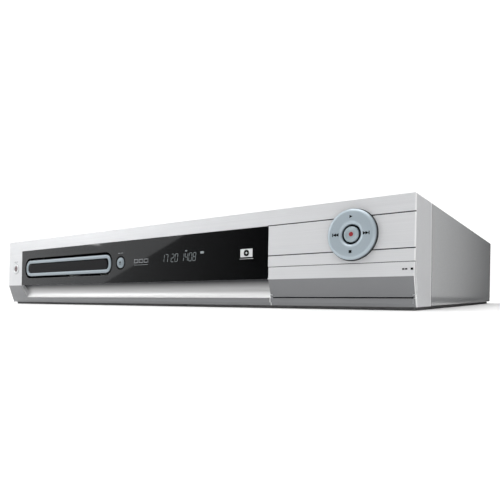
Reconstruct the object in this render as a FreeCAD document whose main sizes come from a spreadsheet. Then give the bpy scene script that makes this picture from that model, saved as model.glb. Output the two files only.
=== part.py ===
import FreeCAD, Part
import math
import os
import re
import Sketcher

Vector = FreeCAD.Vector
Rotation = FreeCAD.Rotation

# Video disc recorder with a hard disk, in millimetres.
# +X is right seen from the front, +Y is back, +Z is up.
# The origin is on the table under the middle of the recorder.

doc = FreeCAD.newDocument("disc_recorder")
sheet = doc.addObject("Spreadsheet::Sheet", "Sizes")

SIZES = {
    # Casing
    "body_width": 430, "body_height": 63.8, "body_depth": 301.5, "foot_gap": 2,
    "chamfer_height": 17.45, "chamfer_back": 5.16, "lean": 2.15,
    "front_wall": 4, "shell_wall": 2.5, "return_depth": 36.2, "bend": 1.2, "tuck": 4,
    "steel": 0.8, "seam_gap": 0.4, "play": 0.3, "flange": 12, "post_height": 6,
    "foot_radius": 11, "foot_side": 45, "foot_front": 62, "foot_rear": 30,
    # Window and cove
    "window_side": 25.3, "panel_width": 96.5, "window_height": 36, "lens_wall": 2,
    "cove_seam": 4.93, "cove_start": 2.6, "cove_radius": 8.9, "cove_slant": 5.1, "cove_back": 8.2,
    # Grooves in the silver front
    "groove": 0.7, "middle_groove": 15.8,
    # Flap over the front sockets
    "flap_top": 8.45, "flap_wall": 2.2, "flap_gap": 0.4, "flap_pin": 0.7, "ear_width": 1.4, "pin_grip": 3,
    "bay_side": 4, "bay_low": 8.6, "bay_high": 24.4, "bay_depth": 18.5, "fit": 0.08,
    "jack_first": 24, "jack_pitch": 18, "round_jack": 12, "digital_jack": 75.7,
    # Four-way ring and record button
    "dial_side": 36.9, "dial_up": 25.45, "dial_radius": 15.3, "dial_proud": 3.6, "dial_hole": 5.7,
    "dial_round": 1.2, "dial_sink": 0.8, "dial_well": 1.8, "neck_radius": 9.2, "neck_bore": 7,
    "gimbal_radius": 12.4, "gimbal_wall": 1.6, "gimbal_pin": 0.8, "gimbal_back": 2.6, "lug_gap": 1.7,
    "record_radius": 4.8, "record_flange": 6.4, "record_sink": 0.4, "key_ring": 8.1,
    # Power and open buttons
    "power_side": 13.7, "power_up": 17.85, "power_radius": 5.1, "button_gap": 0.4, "button_flange": 1.2,
    "eject_side": 12.4, "eject_up": 17.4, "eject_radius": 4.6, "eject_dish": 6, "button_proud": 0.8,
    "stem_radius": 1.6, "neck_gap": 0.35, "key_height": 3.5, "key_side": 5.4, "key_gap": 0.9, "board": 1.6,
    "boss_radius": 2.4,
    # Tray and its door
    "tray_side": 102.2, "door_width": 137, "door_height": 17.2, "door_up": 17.35, "door_gap": 1.7,
    "door_corner": 7.6,
    "door_wall": 3.6, "insert_width": 125.7, "insert_height": 10.5, "insert_drop": 0.95, "insert_wall": 1.4,
    "tray_half": 63, "tray_low": 28.6, "tray_high": 37, "tray_start": 5.6, "tray_end": 170,
    "tray_floor": 34, "small_floor": 33, "disc_radius": 60.9, "small_radius": 41, "disc_y": 72,
    "slot_half": 30.5, "slot_back": 69, "rail_side": 3.4, "rail_low": 30, "rail_high": 32,
    # Loader frame
    "frame_gap": 4, "frame_wall": 4, "frame_low": 8, "frame_high": 40.2, "frame_start": 9,
    "frame_end": 196, "frame_floor": 2, "ledge": 3.4, "shelf_end": 46, "cross_wall": 2.5,
    "clip_z": 19, "motor_radius": 10, "bridge_half": 17, "puck_hole": 12, "puck_radius": 15,
    "ear_reach": 13, "ear_half": 8, "ear_front": 22, "ear_rear": 12,
    # Loading drive
    "tooth": 1, "tray_teeth": 24, "pinion_teeth": 12, "rack_teeth": 47, "rack_first": 2,
    "rack_line": 48, "rack_drop": 2.2, "gear_y": 30, "pulley_radius": 11, "motor_pulley": 3, "belt": 1.2,
    "belt_slack": 0.06, "motor_span": 38, "axle": 1.5,
    # Traverse with turntable and pickup
    "pivot_y": 172, "pivot_z": 17, "drop": 5.6, "spindle_reach": 100, "seat_height": 18.2,
    "turntable_radius": 13, "hub_radius": 7.4, "plate_low": 4.5, "plate_high": 6, "plate_half": 60,
    "rod_x": 24, "rod_height": 8.8, "lift_height": 7, "rod_radius": 1.5, "sled_front": 86,
    "sled_length": 34, "sled_travel": 36, "screw_x": 34, "pivot_pin": 2, "lift_pin": 1.5,
    "lift_pin_x": 25, "lift_run": 16, "slider_wall": 1.5, "guide_end": 2.6, "guide_half": 2.35,
    # Fan, drive and boards
    "socket_reach": 9, "board_start": 45, "fan_side": 40, "fan_depth": 10, "fan_edge": 43, "fan_low": 14,
    "fan_bore": 18.8, "fan_hub": 8, "fan_blades": 7, "drive_width": 101.6, "drive_length": 146,
    "drive_height": 26.1, "drive_edge": 14.4, "drive_low": 9, "cradle_foot": 10, "cradle_wall": 1.2,
    "board_side": 11, "power_width": 104, "power_gap": 9.5, "power_rear": 10, "board_gap": 10,
    "io_width": 182, "io_depth": 54, "io_rear": 6, "main_gap": 7.5, "post_inset": 6, "post_radius": 4,
    "screw_head": 2.6, "screw_shank": 1.1,
    # Rear sockets, measured from the left end of their board
    "rca_radius": 4.15, "rca_reach": 8, "rca_pitch": 18, "rca_first": 102, "rca_low": 19, "rca_high": 37,
    "scart_along": 64, "scart_low": 20, "scart_high": 40, "aerial_along": 17, "round_along": 178,
    "tuner_room": 32, "inlet_along": 34, "inlet_up": 22, "optical_up": 19,
}
for row, (alias, number) in enumerate(SIZES.items(), 1):
    sheet.set(f"A{row}", str(number))
    sheet.setAlias(f"A{row}", alias)
doc.recompute()

# Places that follow from the sizes
PLACES = {
    "half": "body_width / 2",
    "dial_reach": "dial_proud * cos(lean) - (dial_up - dial_radius + dial_round) * sin(lean)",
    "front": "(dial_reach - body_depth - socket_reach) / 2",
    "rear": "front + body_depth",
    "back_face": "rear - steel",
    "crown": "foot_gap + body_height",
    "face_z": "foot_gap + chamfer_height",
    "lean_run": "(body_height - chamfer_height) * tan(lean)",
    "return_end": "front + return_depth",
    "pan_low": "foot_gap + shell_wall + play",
    "pan_top": "pan_low + steel",
    "pan_start": "front + bay_depth + 6",
    "post_top": "pan_top + post_height",
    "board_top": "post_top + board",
    # Across the front, from the two ends of the casing
    "window_left": "half - window_side",
    "window_right": "half - panel_width",
    "dial_x": "half - dial_side",
    "power_x": "half - power_side",
    "tray_x": "half - tray_side",
    "tray_middle": "-tray_x",
    "eject_x": "tray_x - door_width / 2 - eject_side",
    "display_left": "24 - eject_x",
    "display_right": "window_right - 38.5",
    # Chamfer, cove and flap
    "slope": "atan(chamfer_back / chamfer_height) / (1 deg)",
    "seam_z": "foot_gap + cove_seam",
    "seam_y": "front + chamfer_back * (1 - cove_seam / chamfer_height)",
    "pin_y": "seam_y - (flap_gap + flap_wall / 2) * sin(slope) + flap_wall / 2 * cos(slope)",
    "pin_z": "seam_z + (flap_gap + flap_wall / 2) * cos(slope) + flap_wall / 2 * sin(slope)",
    "flap_top_z": "face_z + flap_top - flap_gap",
    "flap_left": "window_right + flap_gap",
    "flap_right": "half - flap_gap",
    "fold_y": "flap_wall * (sin(lean) + sin(slope)) / sin(slope + lean)",
    "fold_z": "flap_wall * (cos(lean) - cos(slope)) / sin(slope + lean)",
    # Behind the front, in the leaning face's own directions
    "key_board_y": "front_wall + 8.2",
    "key_face": "key_board_y - key_height",
    "stem_end": "key_face - key_gap",
    "neck_end": "key_face - neck_gap",
    "gimbal_y": "front_wall + gimbal_back",
    # Loader
    "rail_reach": "tray_half + rail_side",
    "frame_inner": "tray_half + frame_gap",
    "gear_x": "rack_line - tooth * tray_teeth / 2 - tray_x",
    "pinion_x": "gear_x - tooth * (tray_teeth + pinion_teeth) / 2",
    "motor_x": "pinion_x - motor_span",
    "pitch": "pi * tooth",
    "slider_y": "shelf_end + cross_wall + 2",
    "lift_reach": "pivot_y - slider_y - slider_wall - 1",
    "sled_end": "sled_travel + sled_length - sled_front",
    "screw_height": "plate_high - 0.8",
    # Boards, drive and rear sockets
    "power_left": "board_side - half",
    "power_right": "power_left + power_width",
    "power_start": "front + frame_end + power_gap",
    "power_end": "rear - power_rear",
    "io_left": "power_right + board_gap",
    "io_right": "io_left + io_width",
    "io_end": "rear - io_rear",
    "io_start": "io_end - io_depth",
    "drive_x": "half - drive_edge - drive_width",
    "drive_right": "half - drive_edge",
    "main_left": "tray_middle + frame_inner + ear_reach + 1.8",
    "main_right": "drive_x - cradle_foot",
    "main_start": "front + board_start + 1",
    "main_end": "io_start - main_gap",
    "sink_x": "main_left + (main_right - main_left) * 0.48",
    "sink_y": "main_start + (main_end - main_start) * 0.465",
    "fan_x": "half - fan_edge",
    "fan_z": "foot_gap + fan_low + fan_side / 2",
    "scart_x": "io_left + scart_along",
    "aerial_x": "io_left + aerial_along",
    "round_x": "io_left + round_along",
    "inlet_x": "power_left + inlet_along",
    "inlet_z": "foot_gap + inlet_up",
}

WORD = re.compile(r"[a-z_]+")


def tied(formula):
    """The formula with its places written out and each size read from the sheet."""
    def spell(match):
        word = match.group()
        if word in PLACES:
            return "(" + tied(PLACES[word]) + ")"
        return "Sizes." + word if word in SIZES else word
    return WORD.sub(spell, str(formula))


def value(formula):
    """The formula's present value, for sketch geometry that its constraints then hold."""
    return float(sheet.evalExpression(tied(formula)))


def bind(thing, **formulas):
    """Bind properties of one object to formulas."""
    for name, formula in formulas.items():
        thing.setExpression(name, tied(formula))
    return thing


def seat(thing, x, y, z):
    """Bind an object's place to three formulas."""
    for axis, formula in zip("xyz", (x, y, z)):
        thing.setExpression("Placement.Base." + axis, tied(formula))
    return thing


def block(low, high):
    """Box between two corners."""
    solid = doc.addObject("Part::Box", "block")
    for side, start, end in zip(("Length", "Width", "Height"), low, high):
        solid.setExpression(side, tied(f"({end}) - ({start})"))
    return seat(solid, *low)


TURNS = {"x": Rotation(Vector(0, 1, 0), 90), "y": Rotation(Vector(1, 0, 0), -90), "z": Rotation()}


def rod(radius, along, middle, low, high):
    """Round bar along one axis from low to high; middle gives its two other coordinates."""
    solid = doc.addObject("Part::Cylinder", "rod")
    solid.Placement.Rotation = TURNS[along]
    bind(solid, Radius=radius, Height=f"({high}) - ({low})")
    place = list(middle)
    place.insert("xyz".index(along), low)
    return seat(solid, *place)


def join(*pieces):
    """One solid from pieces that touch or overlap."""
    fused = doc.addObject("Part::MultiFuse", "joined")
    fused.Shapes = list(pieces)
    fused.Refine = True
    return fused


def gather(*pieces):
    """Separate solids kept together."""
    group = doc.addObject("Part::Compound", "group")
    group.Links = list(pieces)
    return group


def cut(base, *tools):
    """The base less its tools."""
    result = doc.addObject("Part::Cut", "cut")
    result.Base = base
    result.Tool = tools[0] if len(tools) == 1 else join(*tools)
    return result


def common(first, second):
    """What two solids share."""
    result = doc.addObject("Part::Common", "common")
    result.Base = first
    result.Tool = second
    return result


# For each sketch plane: its turn, the axis it is square to, and that axis as a vector
PLANES = {
    "yz": (Rotation(Vector(1, 1, 1), 120), "x", Vector(1, 0, 0)),
    "xz": (Rotation(Vector(1, 0, 0), 90), "y", Vector(0, 1, 0)),
    "xy": (Rotation(), "z", Vector(0, 0, 1)),
}


def arc_between(start, end, radius, turn):
    """Short arc from start to end, anticlockwise for turn 1 and clockwise for -1."""
    chord = end - start
    height = math.sqrt(radius * radius - chord.Length * chord.Length / 4)
    left = Vector(-chord.y, chord.x, 0).normalize()
    middle = (start + end) * 0.5 + left * (height * turn)
    first, last = (start, end) if turn > 0 else (end, start)
    angles = [math.atan2(point.y - middle.y, point.x - middle.x) for point in (first, last)]
    return Part.ArcOfCircle(Part.Circle(middle, Vector(0, 0, 1), radius), *angles)


def outline(plane, at, corners, owner=None):
    """Closed sketch through corners given as formulas.

    A corner with a third and fourth value starts an arc of that radius and turn.
    """
    turn, axis, _ = PLANES[plane]
    maker = owner.newObject if owner else doc.addObject
    sketch = maker("Sketcher::SketchObject", "outline")
    sketch.Placement.Rotation = turn
    sketch.setExpression("Placement.Base." + axis, tied(at))
    points = [Vector(value(corner[0]), value(corner[1]), 0) for corner in corners]
    ends = []
    for index, corner in enumerate(corners):
        start, end = points[index], points[(index + 1) % len(points)]
        if len(corner) > 2:
            sketch.addGeometry(arc_between(start, end, value(corner[2]), corner[3]))
            ends.append((1, 2) if corner[3] > 0 else (2, 1))
        else:
            sketch.addGeometry(Part.LineSegment(start, end))
            ends.append((1, 2))
    for index, corner in enumerate(corners):
        after = (index + 1) % len(corners)
        sketch.addConstraint(
            Sketcher.Constraint("Coincident", index, ends[index][1], after, ends[after][0]))
        for kind, number, formula in (("DistanceX", points[index].x, corner[0]),
                                      ("DistanceY", points[index].y, corner[1])):
            held = sketch.addConstraint(
                Sketcher.Constraint(kind, -1, 1, index, ends[index][0], number))
            sketch.setExpression(f"Constraints[{held}]", tied(formula))
        if len(corner) > 2:
            held = sketch.addConstraint(Sketcher.Constraint("Radius", index, value(corner[2])))
            sketch.setExpression(f"Constraints[{held}]", tied(corner[2]))
    return sketch


def prism(plane, low, high, corners):
    """Outline pulled along the axis square to its plane, from low to high."""
    pulled = doc.addObject("Part::Extrusion", "prism")
    pulled.Base = outline(plane, low, corners)
    pulled.DirMode = "Custom"
    pulled.Dir = PLANES[plane][2]
    pulled.Solid = True
    return bind(pulled, LengthFwd=f"({high}) - ({low})")


def lathe(corners, place, along="y"):
    """Outline of radius and depth turned about an axis through place."""
    turned = doc.addObject("Part::Revolution", "lathe")
    turned.Source = outline("xy", "0", corners)
    turned.Axis = Vector(0, 1, 0)
    turned.Solid = True
    if along == "z":
        turned.Placement.Rotation = Rotation(Vector(1, 0, 0), 90)
    if along == "x":
        turned.Placement.Rotation = Rotation(Vector(0, 0, 1), -90)
    return seat(turned, *place)


def rounded(wide, tall, low, high, middle, corner):
    """Upright rounded box from low to high along y, reaching wide and tall from its middle."""
    corner = f"({corner})"
    left, right = f"({middle[0]}) - ({wide})", f"({middle[0]}) + ({wide})"
    down, up = f"({middle[1]}) - ({tall})", f"({middle[1]}) + ({tall})"
    points = [
        (f"{left} + {corner}", down), (f"{right} - {corner}", down, corner, 1),
        (right, f"{down} + {corner}"), (right, f"{up} - {corner}", corner, 1),
        (f"{right} - {corner}", up), (f"{left} + {corner}", up, corner, 1),
        (left, f"{up} - {corner}"), (left, f"{down} + {corner}", corner, 1),
    ]
    return prism("xz", low, high, points)


def on_face(thing):
    """Lay a piece made square to the origin on the leaning front face."""
    group = gather(thing)
    group.Placement.Rotation = Rotation(Vector(-1, 0, 0), 1)
    group.setExpression("Placement.Rotation.Angle", tied("lean"))
    return seat(group, "0", "front", "face_z")


def on_traverse(thing):
    """Hang a piece made level on the traverse, which rests tipped down about its rear pivot."""
    group = gather(thing)
    group.Placement.Rotation = Rotation(Vector(1, 0, 0), 1)
    group.setExpression("Placement.Rotation.Angle", tied("drop"))
    return seat(group, "tray_middle", "front + pivot_y", "foot_gap + pivot_z")


NODES = {}


def node(name, thing):
    """Name a finished sub-part."""
    thing.Label = name
    NODES[name] = thing


def ahead(distance):
    """Distance behind the front's chamfer edge as a y formula."""
    return f"front + {distance}"


def above(distance):
    """Height above the casing's lower edge as a z formula."""
    return f"foot_gap + {distance}"


# Front moulding: leaning face over a chamfer, with deep returns along the sides and top
outer = common(
    prism("yz", "-half", "half", [
        ("front + chamfer_back", "foot_gap"), ("return_end", "foot_gap"), ("return_end", "crown"),
        ("front + lean_run", "crown"), ("front", "face_z")]),
    prism("xz", "front - 1", "return_end + 1", [
        ("-half", "foot_gap"), ("half", "foot_gap"), ("half", "crown - bend", "bend", 1),
        ("half - bend", "crown"), ("bend - half", "crown", "bend", 1), ("-half", "crown - bend")]))
hollow = prism("yz", "shell_wall - half", "half - shell_wall", [
    ("front + chamfer_back + front_wall", "foot_gap + shell_wall"),
    ("return_end + 1", "foot_gap + shell_wall"), ("return_end + 1", "crown - shell_wall"),
    ("front + front_wall + lean_run", "crown - shell_wall"), ("front + front_wall", "face_z")])
tuck_lip = cut(
    block(("shell_wall - half - 1", "return_end - 1", "foot_gap + shell_wall"),
          ("half - shell_wall + 1", "return_end + tuck", "crown - steel - play")),
    block(("shell_wall - half", "return_end - 2", "foot_gap"),
          ("half - shell_wall", "return_end + tuck + 1", "crown - shell_wall")))
cove_block = block(
    ("-window_left - shell_wall", "front + front_wall - 0.6", "foot_gap + shell_wall - 0.5"),
    ("window_right + bay_side", "front + cove_back", "face_z + 0.5"))
bay_block = block(
    ("window_right", "front + front_wall - 0.6", "foot_gap + shell_wall - 0.5"),
    ("half - shell_wall + 0.5", "front + bay_depth", "face_z + flap_top + 1"))
cove = common(
    prism("yz", "-window_left - 1", "window_right", [
        ("front - 1", "seam_z"), ("seam_y", "seam_z", "cove_radius", 1),
        ("front + cove_start", "face_z + 0.2"), ("front - 1", "face_z + 0.2")]),
    prism("xz", "front - 2", "front + cove_back", [
        ("cove_slant - window_left", "seam_z"), ("window_right", "seam_z"),
        ("window_right", "face_z + 0.2"), ("-window_left", "face_z + 0.2")]))

# The flap's pins turn in two ears that stand up from the seam inside its recess
EARS = [("window_right", "flap_left + ear_width"), ("flap_right - ear_width", "half + 1")]
ears = [
    join(rod("flap_wall / 2", "x", ("pin_y", "pin_z"), start, end),
         block((start, "pin_y - flap_wall / 4", "seam_z - 1"),
               (end, "front + front_wall * 2", "pin_z")))
    for start, end in EARS]
flap_recess = cut(prism("yz", "window_right", "half + 1", [
    ("seam_y - 4", "seam_z"), ("seam_y + (flap_wall + flap_gap) / cos(slope)", "seam_z"),
    ("front + flap_wall + flap_gap", "face_z"),
    ("front + flap_wall + flap_gap + flap_top * tan(lean)", "face_z + flap_top"),
    ("front - 4", "face_z + flap_top")]), *ears)
bay_opening = block(("window_right + bay_side", "front - 1", above("bay_low")),
                    ("half - bay_side", "front + bay_depth + 1", above("bay_high")))
flap_pin_holes = rod("flap_pin + fit", "x", ("pin_y", "pin_z"), "window_right + 0.3", "half - play")
step_groove = prism("yz", "window_right - groove / 4", "window_right + groove / 4", [
    ("seam_y - 1", "seam_z"), ("seam_y + groove / 2", "seam_z"),
    ("front + chamfer_back + groove / 2", "foot_gap"), ("front + chamfer_back - 1", "foot_gap")])

# Openings in the leaning face
window_middle = ("(window_right - window_left) / 2", "window_height / 2")
window_recess = rounded("(window_left + window_right) / 2", "window_height / 2", "-1", "lens_wall",
                        window_middle, "1")
tray_way = rounded("door_width / 2 + door_gap", "door_height / 2 + door_gap", "-2", "front_wall * 2",
                   ("tray_middle", "door_up"), "door_corner + door_gap")
display_hole = block(("display_left", "0", "10"), ("display_right", "front_wall * 2", "30"))
eject_hole = rod("eject_dish", "y", ("-eject_x", "eject_up"), "-1", "front_wall * 2")
power_hole = rod("power_radius + button_gap", "y", ("-power_x", "power_up"), "-1", "front_wall * 2")
dial_hole = rod("neck_radius + 1.2", "y", ("dial_x", "dial_up"), "-1", "front_wall * 2")
dial_well = rod("dial_radius + button_gap", "y", ("dial_x", "dial_up"), "-1", "dial_well")
face_grooves = [
    block(("window_right - 1", "-1", f"{height} - groove / 2"),
          ("half + 1", "groove", f"{height} + groove / 2"))
    for height in ("middle_groove", "window_height")]
face_tools = on_face(join(window_recess, tray_way, display_hole, eject_hole, power_hole,
                          dial_hole, dial_well, *face_grooves))

# Two lugs behind the ring that carry its spring plate, and bosses for the boards
LUGS = [f"dial_x + {side} * (gimbal_radius + lug_gap)" for side in (-1, 1)]
gimbal_lugs = [
    block((f"{lug} - 1.3", "front_wall - 0.2", "dial_up - 2.5"),
          (f"{lug} + 1.3", "gimbal_y + 2.9", "dial_up + 2.5")) for lug in LUGS]
lug_holes = [
    rod("gimbal_pin + fit", "x", ("gimbal_y", "dial_up"), f"{lug} - 2", f"{lug} + 2") for lug in LUGS]
lugs = on_face(cut(join(*gimbal_lugs), *lug_holes))
BOSSES = [
    ("shell_wall + 4 - half", "power_up - 9"), ("5 - power_x", "power_up + 9"),
    ("2 - eject_x", "6"), ("2 - eject_x", "window_height - 5"), ("window_right - 8", "6"),
    ("window_right - 8", "window_height - 5"), ("half - shell_wall - 5", "window_height + 2"),
]
bosses = on_face(join(*[
    rod("boss_radius", "y", place, "front_wall - 0.3", "key_board_y") for place in BOSSES]))
shell = join(cut(outer, hollow), tuck_lip, cove_block, bay_block)
bare_front = cut(shell, cove, flap_recess, bay_opening, flap_pin_holes, step_groove, face_tools)
node("front_panel", join(bare_front, lugs, bosses))

# Smoked window, cut for the tray and the open button
lens = rounded("(window_left + window_right) / 2 - play / 2", "window_height / 2 - play / 2",
               "0", "lens_wall", window_middle, "1")
lens_dish = rod("eject_dish", "y", ("-eject_x", "eject_up"), "-1", "lens_wall + 1")
lens_way = rounded("door_width / 2 + door_gap", "door_height / 2 + door_gap", "-2", "front_wall",
                   ("tray_middle", "door_up"), "door_corner + door_gap")
node("window_lens", on_face(cut(lens, lens_way, lens_dish)))

# Flap over the front sockets, with a round lower edge that turns on two end pins
flap_sheet = prism("yz", "flap_left", "flap_right", [
    ("pin_y - flap_wall / 2 * cos(slope)", "pin_z - flap_wall / 2 * sin(slope)"),
    ("pin_y + flap_wall / 2 * cos(slope)", "pin_z + flap_wall / 2 * sin(slope)"),
    ("front + fold_y", "face_z + fold_z"),
    ("front + (flap_top - flap_gap) * tan(lean) + flap_wall / cos(lean)", "flap_top_z"),
    ("front + (flap_top - flap_gap) * tan(lean)", "flap_top_z"), ("front", "face_z")])
flap_edge = rod("flap_wall / 2", "x", ("pin_y", "pin_z"), "flap_left", "flap_right")
NOTCHES = [("flap_left - 1", "flap_left + ear_width + flap_gap"),
           ("flap_right - ear_width - flap_gap", "flap_right + 1")]
flap_notches = [
    join(rod("flap_wall / 2 + flap_gap", "x", ("pin_y", "pin_z"), start, end),
         block((start, "front - 2", "seam_z - 1"), (end, "front + front_wall * 2", "pin_z")))
    for start, end in NOTCHES]
flap_pins = [
    rod("flap_pin", "x", ("pin_y", "pin_z"), start, end)
    for start, end in (("flap_left + play", "flap_left + ear_width + pin_grip"),
                       ("flap_right - ear_width - pin_grip", "flap_right - play"))]
flap_grip = block(("half - 60", "front + flap_wall - 0.3", "flap_top_z - 3"),
                  ("half - 40", "front + flap_wall + 2", "flap_top_z - 1.8"))
node("front_av_door", join(cut(join(flap_sheet, flap_edge), *flap_notches), *flap_pins, flap_grip))

# Four-way ring: a domed annulus whose neck passes through the front to a spring plate
ring_top = "-dial_proud"
ring = lathe([
    ("dial_hole + 0.8", ring_top), ("dial_radius - dial_round", ring_top, "dial_round", 1),
    ("dial_radius", "dial_round - dial_proud"), ("dial_radius", "dial_sink"), ("neck_radius", "dial_sink"),
    ("neck_radius", "neck_end"), ("neck_bore", "neck_end"), ("neck_bore", "1"),
    ("dial_hole", "0"), ("dial_hole", "1 - dial_proud")], ("dial_x", "0", "dial_up"))
ring_pins = [
    rod("gimbal_pin", "z", ("dial_x", "gimbal_y"), low, high)
    for low, high in (("dial_up + neck_radius - 1", "dial_up + gimbal_radius - 0.4"),
                      ("dial_up - gimbal_radius + 0.4", "dial_up - neck_radius + 1"))]
node("dial_ring", on_face(join(ring, *ring_pins)))

# Spring plate that the ring tilts in, itself tilting on pins in the front's two lugs
dial_place = ("dial_x", "dial_up")
plate_ring = cut(
    rod("gimbal_radius", "y", dial_place, "gimbal_y - 1.4", "gimbal_y + 1.4"),
    rod("gimbal_radius - gimbal_wall", "y", dial_place, "gimbal_y - 2", "gimbal_y + 2"),
    rod("gimbal_pin + fit", "z", ("dial_x", "gimbal_y"),
        "dial_up - gimbal_radius - 1", "dial_up + gimbal_radius + 1"))
plate_pins = [
    rod("gimbal_pin", "x", ("gimbal_y", "dial_up"), low, high)
    for low, high in (("dial_x - gimbal_radius - 2.6", "dial_x - gimbal_radius + 0.5"),
                      ("dial_x + gimbal_radius - 0.5", "dial_x + gimbal_radius + 2.6"))]
node("dial_carrier", on_face(join(plate_ring, *plate_pins)))


def push_button(radius, proud, x, up, flange):
    """Domed round button with a retaining flange behind the front and a stem to its key."""
    return lathe([
        ("0", f"-{proud}"), (f"{radius} - 0.8", f"0.15 - {proud}", "0.8", 1),
        (radius, f"0.95 - {proud}"), (radius, "front_wall + button_gap"),
        (flange, "front_wall + button_gap"), (flange, "front_wall + button_gap + button_flange"),
        ("stem_radius", "front_wall + button_gap + button_flange"), ("stem_radius", "stem_end"),
        ("0", "stem_end")], (x, "0", up))


node("record_button", on_face(push_button(
    "record_radius", "(dial_proud - record_sink)", "dial_x", "dial_up", "record_flange")))
node("power_button", on_face(push_button(
    "power_radius", "button_proud", "-power_x", "power_up", "power_radius + button_flange")))
node("eject_button", on_face(push_button(
    "eject_radius", "(button_proud - play)", "-eject_x", "eject_up", "eject_dish + button_flange")))

# Key switches on their boards, one behind each button and four behind the ring
KEYS = [("-power_x", "power_up"), ("-eject_x", "eject_up"), ("dial_x", "dial_up"),
        ("dial_x - key_ring", "dial_up"), ("dial_x + key_ring", "dial_up"),
        ("dial_x", "dial_up - key_ring"), ("dial_x", "dial_up + key_ring")]
keys = []
for x, up in KEYS:
    keys.append(block((f"{x} - key_side / 2", "key_face + 1", f"{up} - key_side / 2"),
                      (f"{x} + key_side / 2", "key_board_y", f"{up} + key_side / 2")))
    keys.append(rod("stem_radius", "y", (x, up), "key_face", "key_face + 1"))
node("tact_switches", on_face(join(*keys)))
node("power_key_board", on_face(block(
    ("shell_wall + 1 - half", "key_board_y", "power_up - 12"),
    ("9 - power_x", "key_board_y + board", "power_up + 12"))))

# Fluorescent display tube on its board behind the window
node("display_tube", on_face(join(
    block(("display_left + 4", "lens_wall + 1.2", "11.5"), ("display_right - 4", "lens_wall + 7.5", "28.5")),
    block(("display_left + 10", "lens_wall + 7", "8"), ("display_right - 10", "key_board_y", "32")),
    rod("1.2", "x", ("lens_wall + 4", "20"), "display_right - 4", "display_right - 1"))))
node("front_board", on_face(join(
    block(("-eject_x - 5", "key_board_y", "3"),
          ("window_right - 3", "key_board_y + board", "window_height - 1")),
    block(("window_right - 4", "key_board_y", "flap_top + 3"),
          ("half - shell_wall - 2", "key_board_y + board", "window_height + 6")))))

# Front sockets behind the flap
jack_z = above("(bay_low + bay_high) / 2")
jack_face = ahead("bay_depth + 1.9")
JACKS = [f"window_right + jack_first + {n} * jack_pitch" for n in range(3)]
round_jack = ("window_right + round_jack", jack_z)
digital_x = "window_right + digital_jack"
socket_plate = cut(
    block(("window_right + 1", ahead("bay_depth"), "pan_low"),
          ("half - shell_wall - play", ahead("bay_depth + 1.6"), above("bay_high + 2"))),
    *[rod("rca_radius + play", "y", (x, jack_z), ahead("bay_depth - 1"), ahead("bay_depth + 3"))
      for x in JACKS],
    rod("5.4", "y", round_jack, ahead("bay_depth - 1"), ahead("bay_depth + 3")),
    block((f"{digital_x} - 3.7", ahead("bay_depth - 1"), f"{jack_z} - 2.6"),
          (f"{digital_x} + 3.7", ahead("bay_depth + 3"), f"{jack_z} + 2.6")))
node("av_socket_plate", socket_plate)


def rca_jack(x, z, plate, reach, body):
    """Phono socket: hollow barrel in front of a square body; reach and body point along y."""
    sign = "-" if reach.startswith("-") else "+"
    tip = f"({plate}) {reach}"
    low, high = (tip, plate) if sign == "-" else (plate, tip)
    barrel = cut(rod("rca_radius", "y", (x, z), low, high),
                 rod("1.7", "y", (x, z), f"({low}) - 1", f"({high}) + 1"))
    near, far = (plate, f"({plate}) + {body}") if sign == "-" else (f"({plate}) - {body}", plate)
    house = block((f"{x} - 5", near, f"{z} - 5.5"), (f"{x} + 5", far, f"{z} + 5.5"))
    return join(barrel, house)


node("front_rca_jacks", gather(*[
    rca_jack(x, jack_z, jack_face, "- rca_reach - 1.9", "9") for x in JACKS]))
round_well = cut(
    rod("4.3", "y", round_jack, ahead("bay_depth - 2"), ahead("bay_depth + 6")),
    rod("3.1", "y", round_jack, ahead("bay_depth - 0.5"), ahead("bay_depth + 7")))
node("front_svideo_jack", cut(join(
    rod("5.1", "y", round_jack, ahead("bay_depth - 1"), ahead("bay_depth + 2")),
    block((f"{round_jack[0]} - 5.5", ahead("bay_depth + 2"), f"{jack_z} - 6"),
          (f"{round_jack[0]} + 5.5", ahead("bay_depth + 11"), f"{jack_z} + 6"))), round_well))
node("front_dv_jack", cut(
    block((f"{digital_x} - 3.4", ahead("bay_depth - 0.6"), f"{jack_z} - 2.3"),
          (f"{digital_x} + 3.4", ahead("bay_depth + 11"), f"{jack_z} + 2.3")),
    block((f"{digital_x} - 2.7", ahead("bay_depth - 1"), f"{jack_z} - 1.6"),
          (f"{digital_x} + 2.7", ahead("bay_depth + 6"), f"{jack_z} + 1.6"))))
node("av_board", block(
    ("window_right + 4", jack_face, f"{jack_z} - 7.9"),
    ("half - shell_wall - 4", ahead("bay_depth + 26"), f"{jack_z} - 6.3")))

# Steel floor with side and rear flanges and pressed posts under the boards
def corners(left, right, start, end):
    """Post places, one near each corner of a board."""
    return [(x, y) for x in (f"{left} + post_inset", f"{right} - post_inset")
            for y in (f"{start} + post_inset", f"{end} - post_inset")]


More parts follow.
